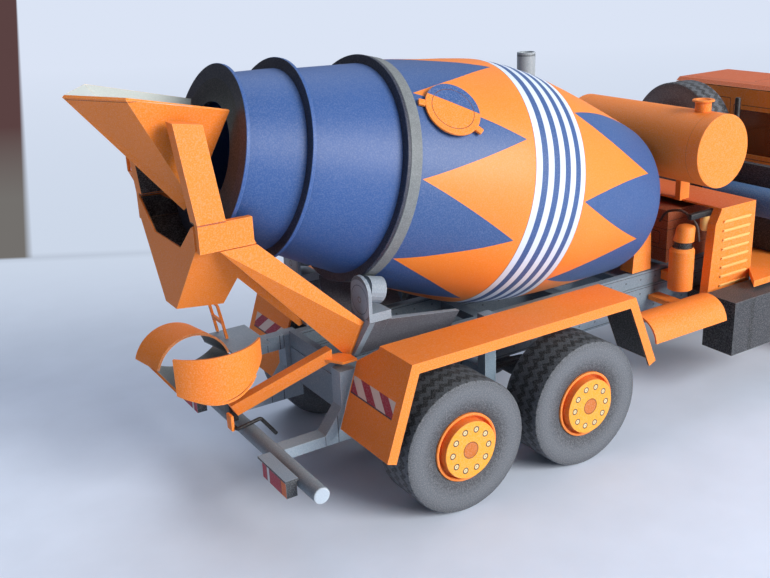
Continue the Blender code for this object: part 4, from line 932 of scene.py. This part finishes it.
# Painted shade: the roof is printed a darker orange than the cab.
colour = card.lay(ink(204, 96, 38), ink(110, 46, 20), card.both(card.top, drawn))
dress("cab_roof", card.finish(colour, ORANGE_EDGE))
card = CardPrint("window_film")
FILM = card.finish(ink(146, 78, 42), ink(160, 110, 80), fleck=0.02, shade=0.03, rough=0.15)
card.shader.inputs["Alpha"].default_value = 0.72
dress("cab_glazing", FILM)
section = [(62.3, 0.0), (62.3, 0.9), (82.2, 0.9), (82.6, 0.7), (82.6, 0.0)]
piece = turned((138.6, -2.0, 0), (0, 0, 1), section, steps=32)
settle(piece, "intake_snorkel", BLACK_WIRE)

# Front bumper and front mudguards, glued under the cab.
# The bumper's lamps and the line of a blank panel are drawn on it.
card = CardPrint("bumper_print")
lamps = card.both(card.front, card.between(card.out, 24.0, 34.0), card.between(card.z, 17.0, 22.0))
plate_line = card.both(card.front, card.frame_line(card.y, -9.0, 9.0, card.z, 17.0, 21.0))
colour = card.lay(card.lay(ORANGE, ink(228, 232, 236), lamps), ORANGE_LINE, plate_line)
dress("front_bumper", card.finish(colour, ORANGE_EDGE))
dress_pair("front_mudguard", DARK_BOX)

# Stage: the model stands on one large plane of pale paper. Away from the model that plane is
# coloured as what stands behind it: the wall, and beyond the sheet's left edge the darker room.
AWAY_X, AWAY_Y = 0.522, 0.853        # away from the camera, along the floor
UNLIT, PALER, DARKER = (125.0, 150.0), (600.0, 800.0), (450.0, 260.0)     # middle and width of each
WALL_FROM = 198.0                    # where the sheet bends up
SHEET_ACROSS, SHEET_BACK, SHEET_EDGE = 0.9765, -0.2156, -92.3      # the sheet's left edge
PAPER_INK = ink(217, 228, 246)
floor = begin("plane", size=30.0)
mode("EDIT")
bpy.ops.mesh.subdivide(number_cuts=4)
mode("OBJECT")
floor.name = "paper_sheet"
card = CardPrint("paper")
PAPER = card.finish(PAPER_INK, PAPER_INK, fleck=0.02, shade=0.01, rough=0.8)
far = card.plus(card.times(card.x, AWAY_X), card.times(card.y, AWAY_Y))
wall = card.lay(ink(204, 215, 232), ink(219, 228, 245), card.above(far, *PALER))
# Painted shade: a darker line where the sheet bends up to the wall.
line = card.both(card.between(far, WALL_FROM - 4, WALL_FROM + 4, 8.0), card.below(card.x, 40.0, 120.0))
wall = card.lay(wall, ink(180, 190, 206), card.times(line, 0.6))
across = card.plus(card.times(card.x, SHEET_ACROSS), card.times(card.y, SHEET_BACK))
room_tone = card.lay(ink(114, 111, 108), ink(90, 66, 66), card.above(far, *DARKER))
beyond = card.both(card.below(across, SHEET_EDGE, 4.0), card.above(far, WALL_FROM, 4.0))
wall = card.lay(wall, room_tone, beyond)
glow = card.add("Emission")
card.links.new(wall, glow.inputs["Color"])
path = card.add("LightPath").outputs
seen = card.either(path["Is Camera Ray"], path["Is Glossy Ray"], path["Is Transmission Ray"])
blend = card.add("MixShader")
card.links.new(card.both(seen, card.above(far, *UNLIT)), blend.inputs[0])
card.links.new(card.shader.outputs[0], blend.inputs[1])
card.links.new(glow.outputs[0], blend.inputs[2])
card.links.new(blend.outputs[0], card.nodes["Material Output"].inputs["Surface"])
floor.data.materials.append(PAPER)

ROOM_DIM, ROOM_BRIGHT = 0.14, 0.62       # the room behind the camera, and the side with the window
world = bpy.data.worlds.new("room")
bpy.context.scene.world = world
world.use_nodes = True
nodes, links = world.node_tree.nodes, world.node_tree.links
room = nodes["Background"]
room.inputs["Color"].default_value = ink(212, 218, 232)
way, parts = nodes.new("ShaderNodeTexCoord"), nodes.new("ShaderNodeSeparateXYZ")
level = nodes.new("ShaderNodeMapRange")
level.inputs["From Min"].default_value = -1.0
level.inputs["To Min"].default_value = ROOM_DIM
level.inputs["To Max"].default_value = ROOM_BRIGHT
links.new(way.outputs["Generated"], parts.inputs[0])
links.new(parts.outputs["X"], level.inputs["Value"])
links.new(level.outputs[0], room.inputs["Strength"])


def lamp(name, place, aim, size, power, colour):
    light = bpy.data.lights.new(name, "AREA")
    light.shape = "DISK"
    light.size = size
    light.energy = power
    light.color = colour
    ob = bpy.data.objects.new(name, light)
    bpy.context.scene.collection.objects.link(ob)
    ob.location = place
    ob.rotation_euler = (Vector(aim) - Vector(place)).to_track_quat("-Z", "Y").to_euler()


lamp("window_light", (0.42, -1.1, 0.56), (0, 0, 0.04), 0.75, 22.0, (1.0, 0.965, 0.92))
lamp("room_fill", (0.1, 0.5, 1.1), (0, 0, 0.04), 1.1, 5.0, (0.86, 0.92, 1.0))

lens = bpy.data.cameras.new("camera")
camera = bpy.data.objects.new("camera", lens)
bpy.context.scene.collection.objects.link(camera)
lens.sensor_width = 36.0
lens.lens = 45.434
lens.clip_start = 0.001
right = Vector((0.84446782, -0.53408511, -0.04033856))
upward = Vector((0.21215756, 0.26439636, 0.94078889))
back = -Vector((0.49179597, 0.80302407, -0.33658442))
stand = Vector((-0.193947, -0.209691, 0.134732))
camera.matrix_world = Matrix([(right[i], upward[i], back[i], stand[i]) for i in range(3)] + [(0, 0, 0, 1)])
bpy.context.scene.camera = camera
bpy.context.scene.view_settings.view_transform = "Standard"
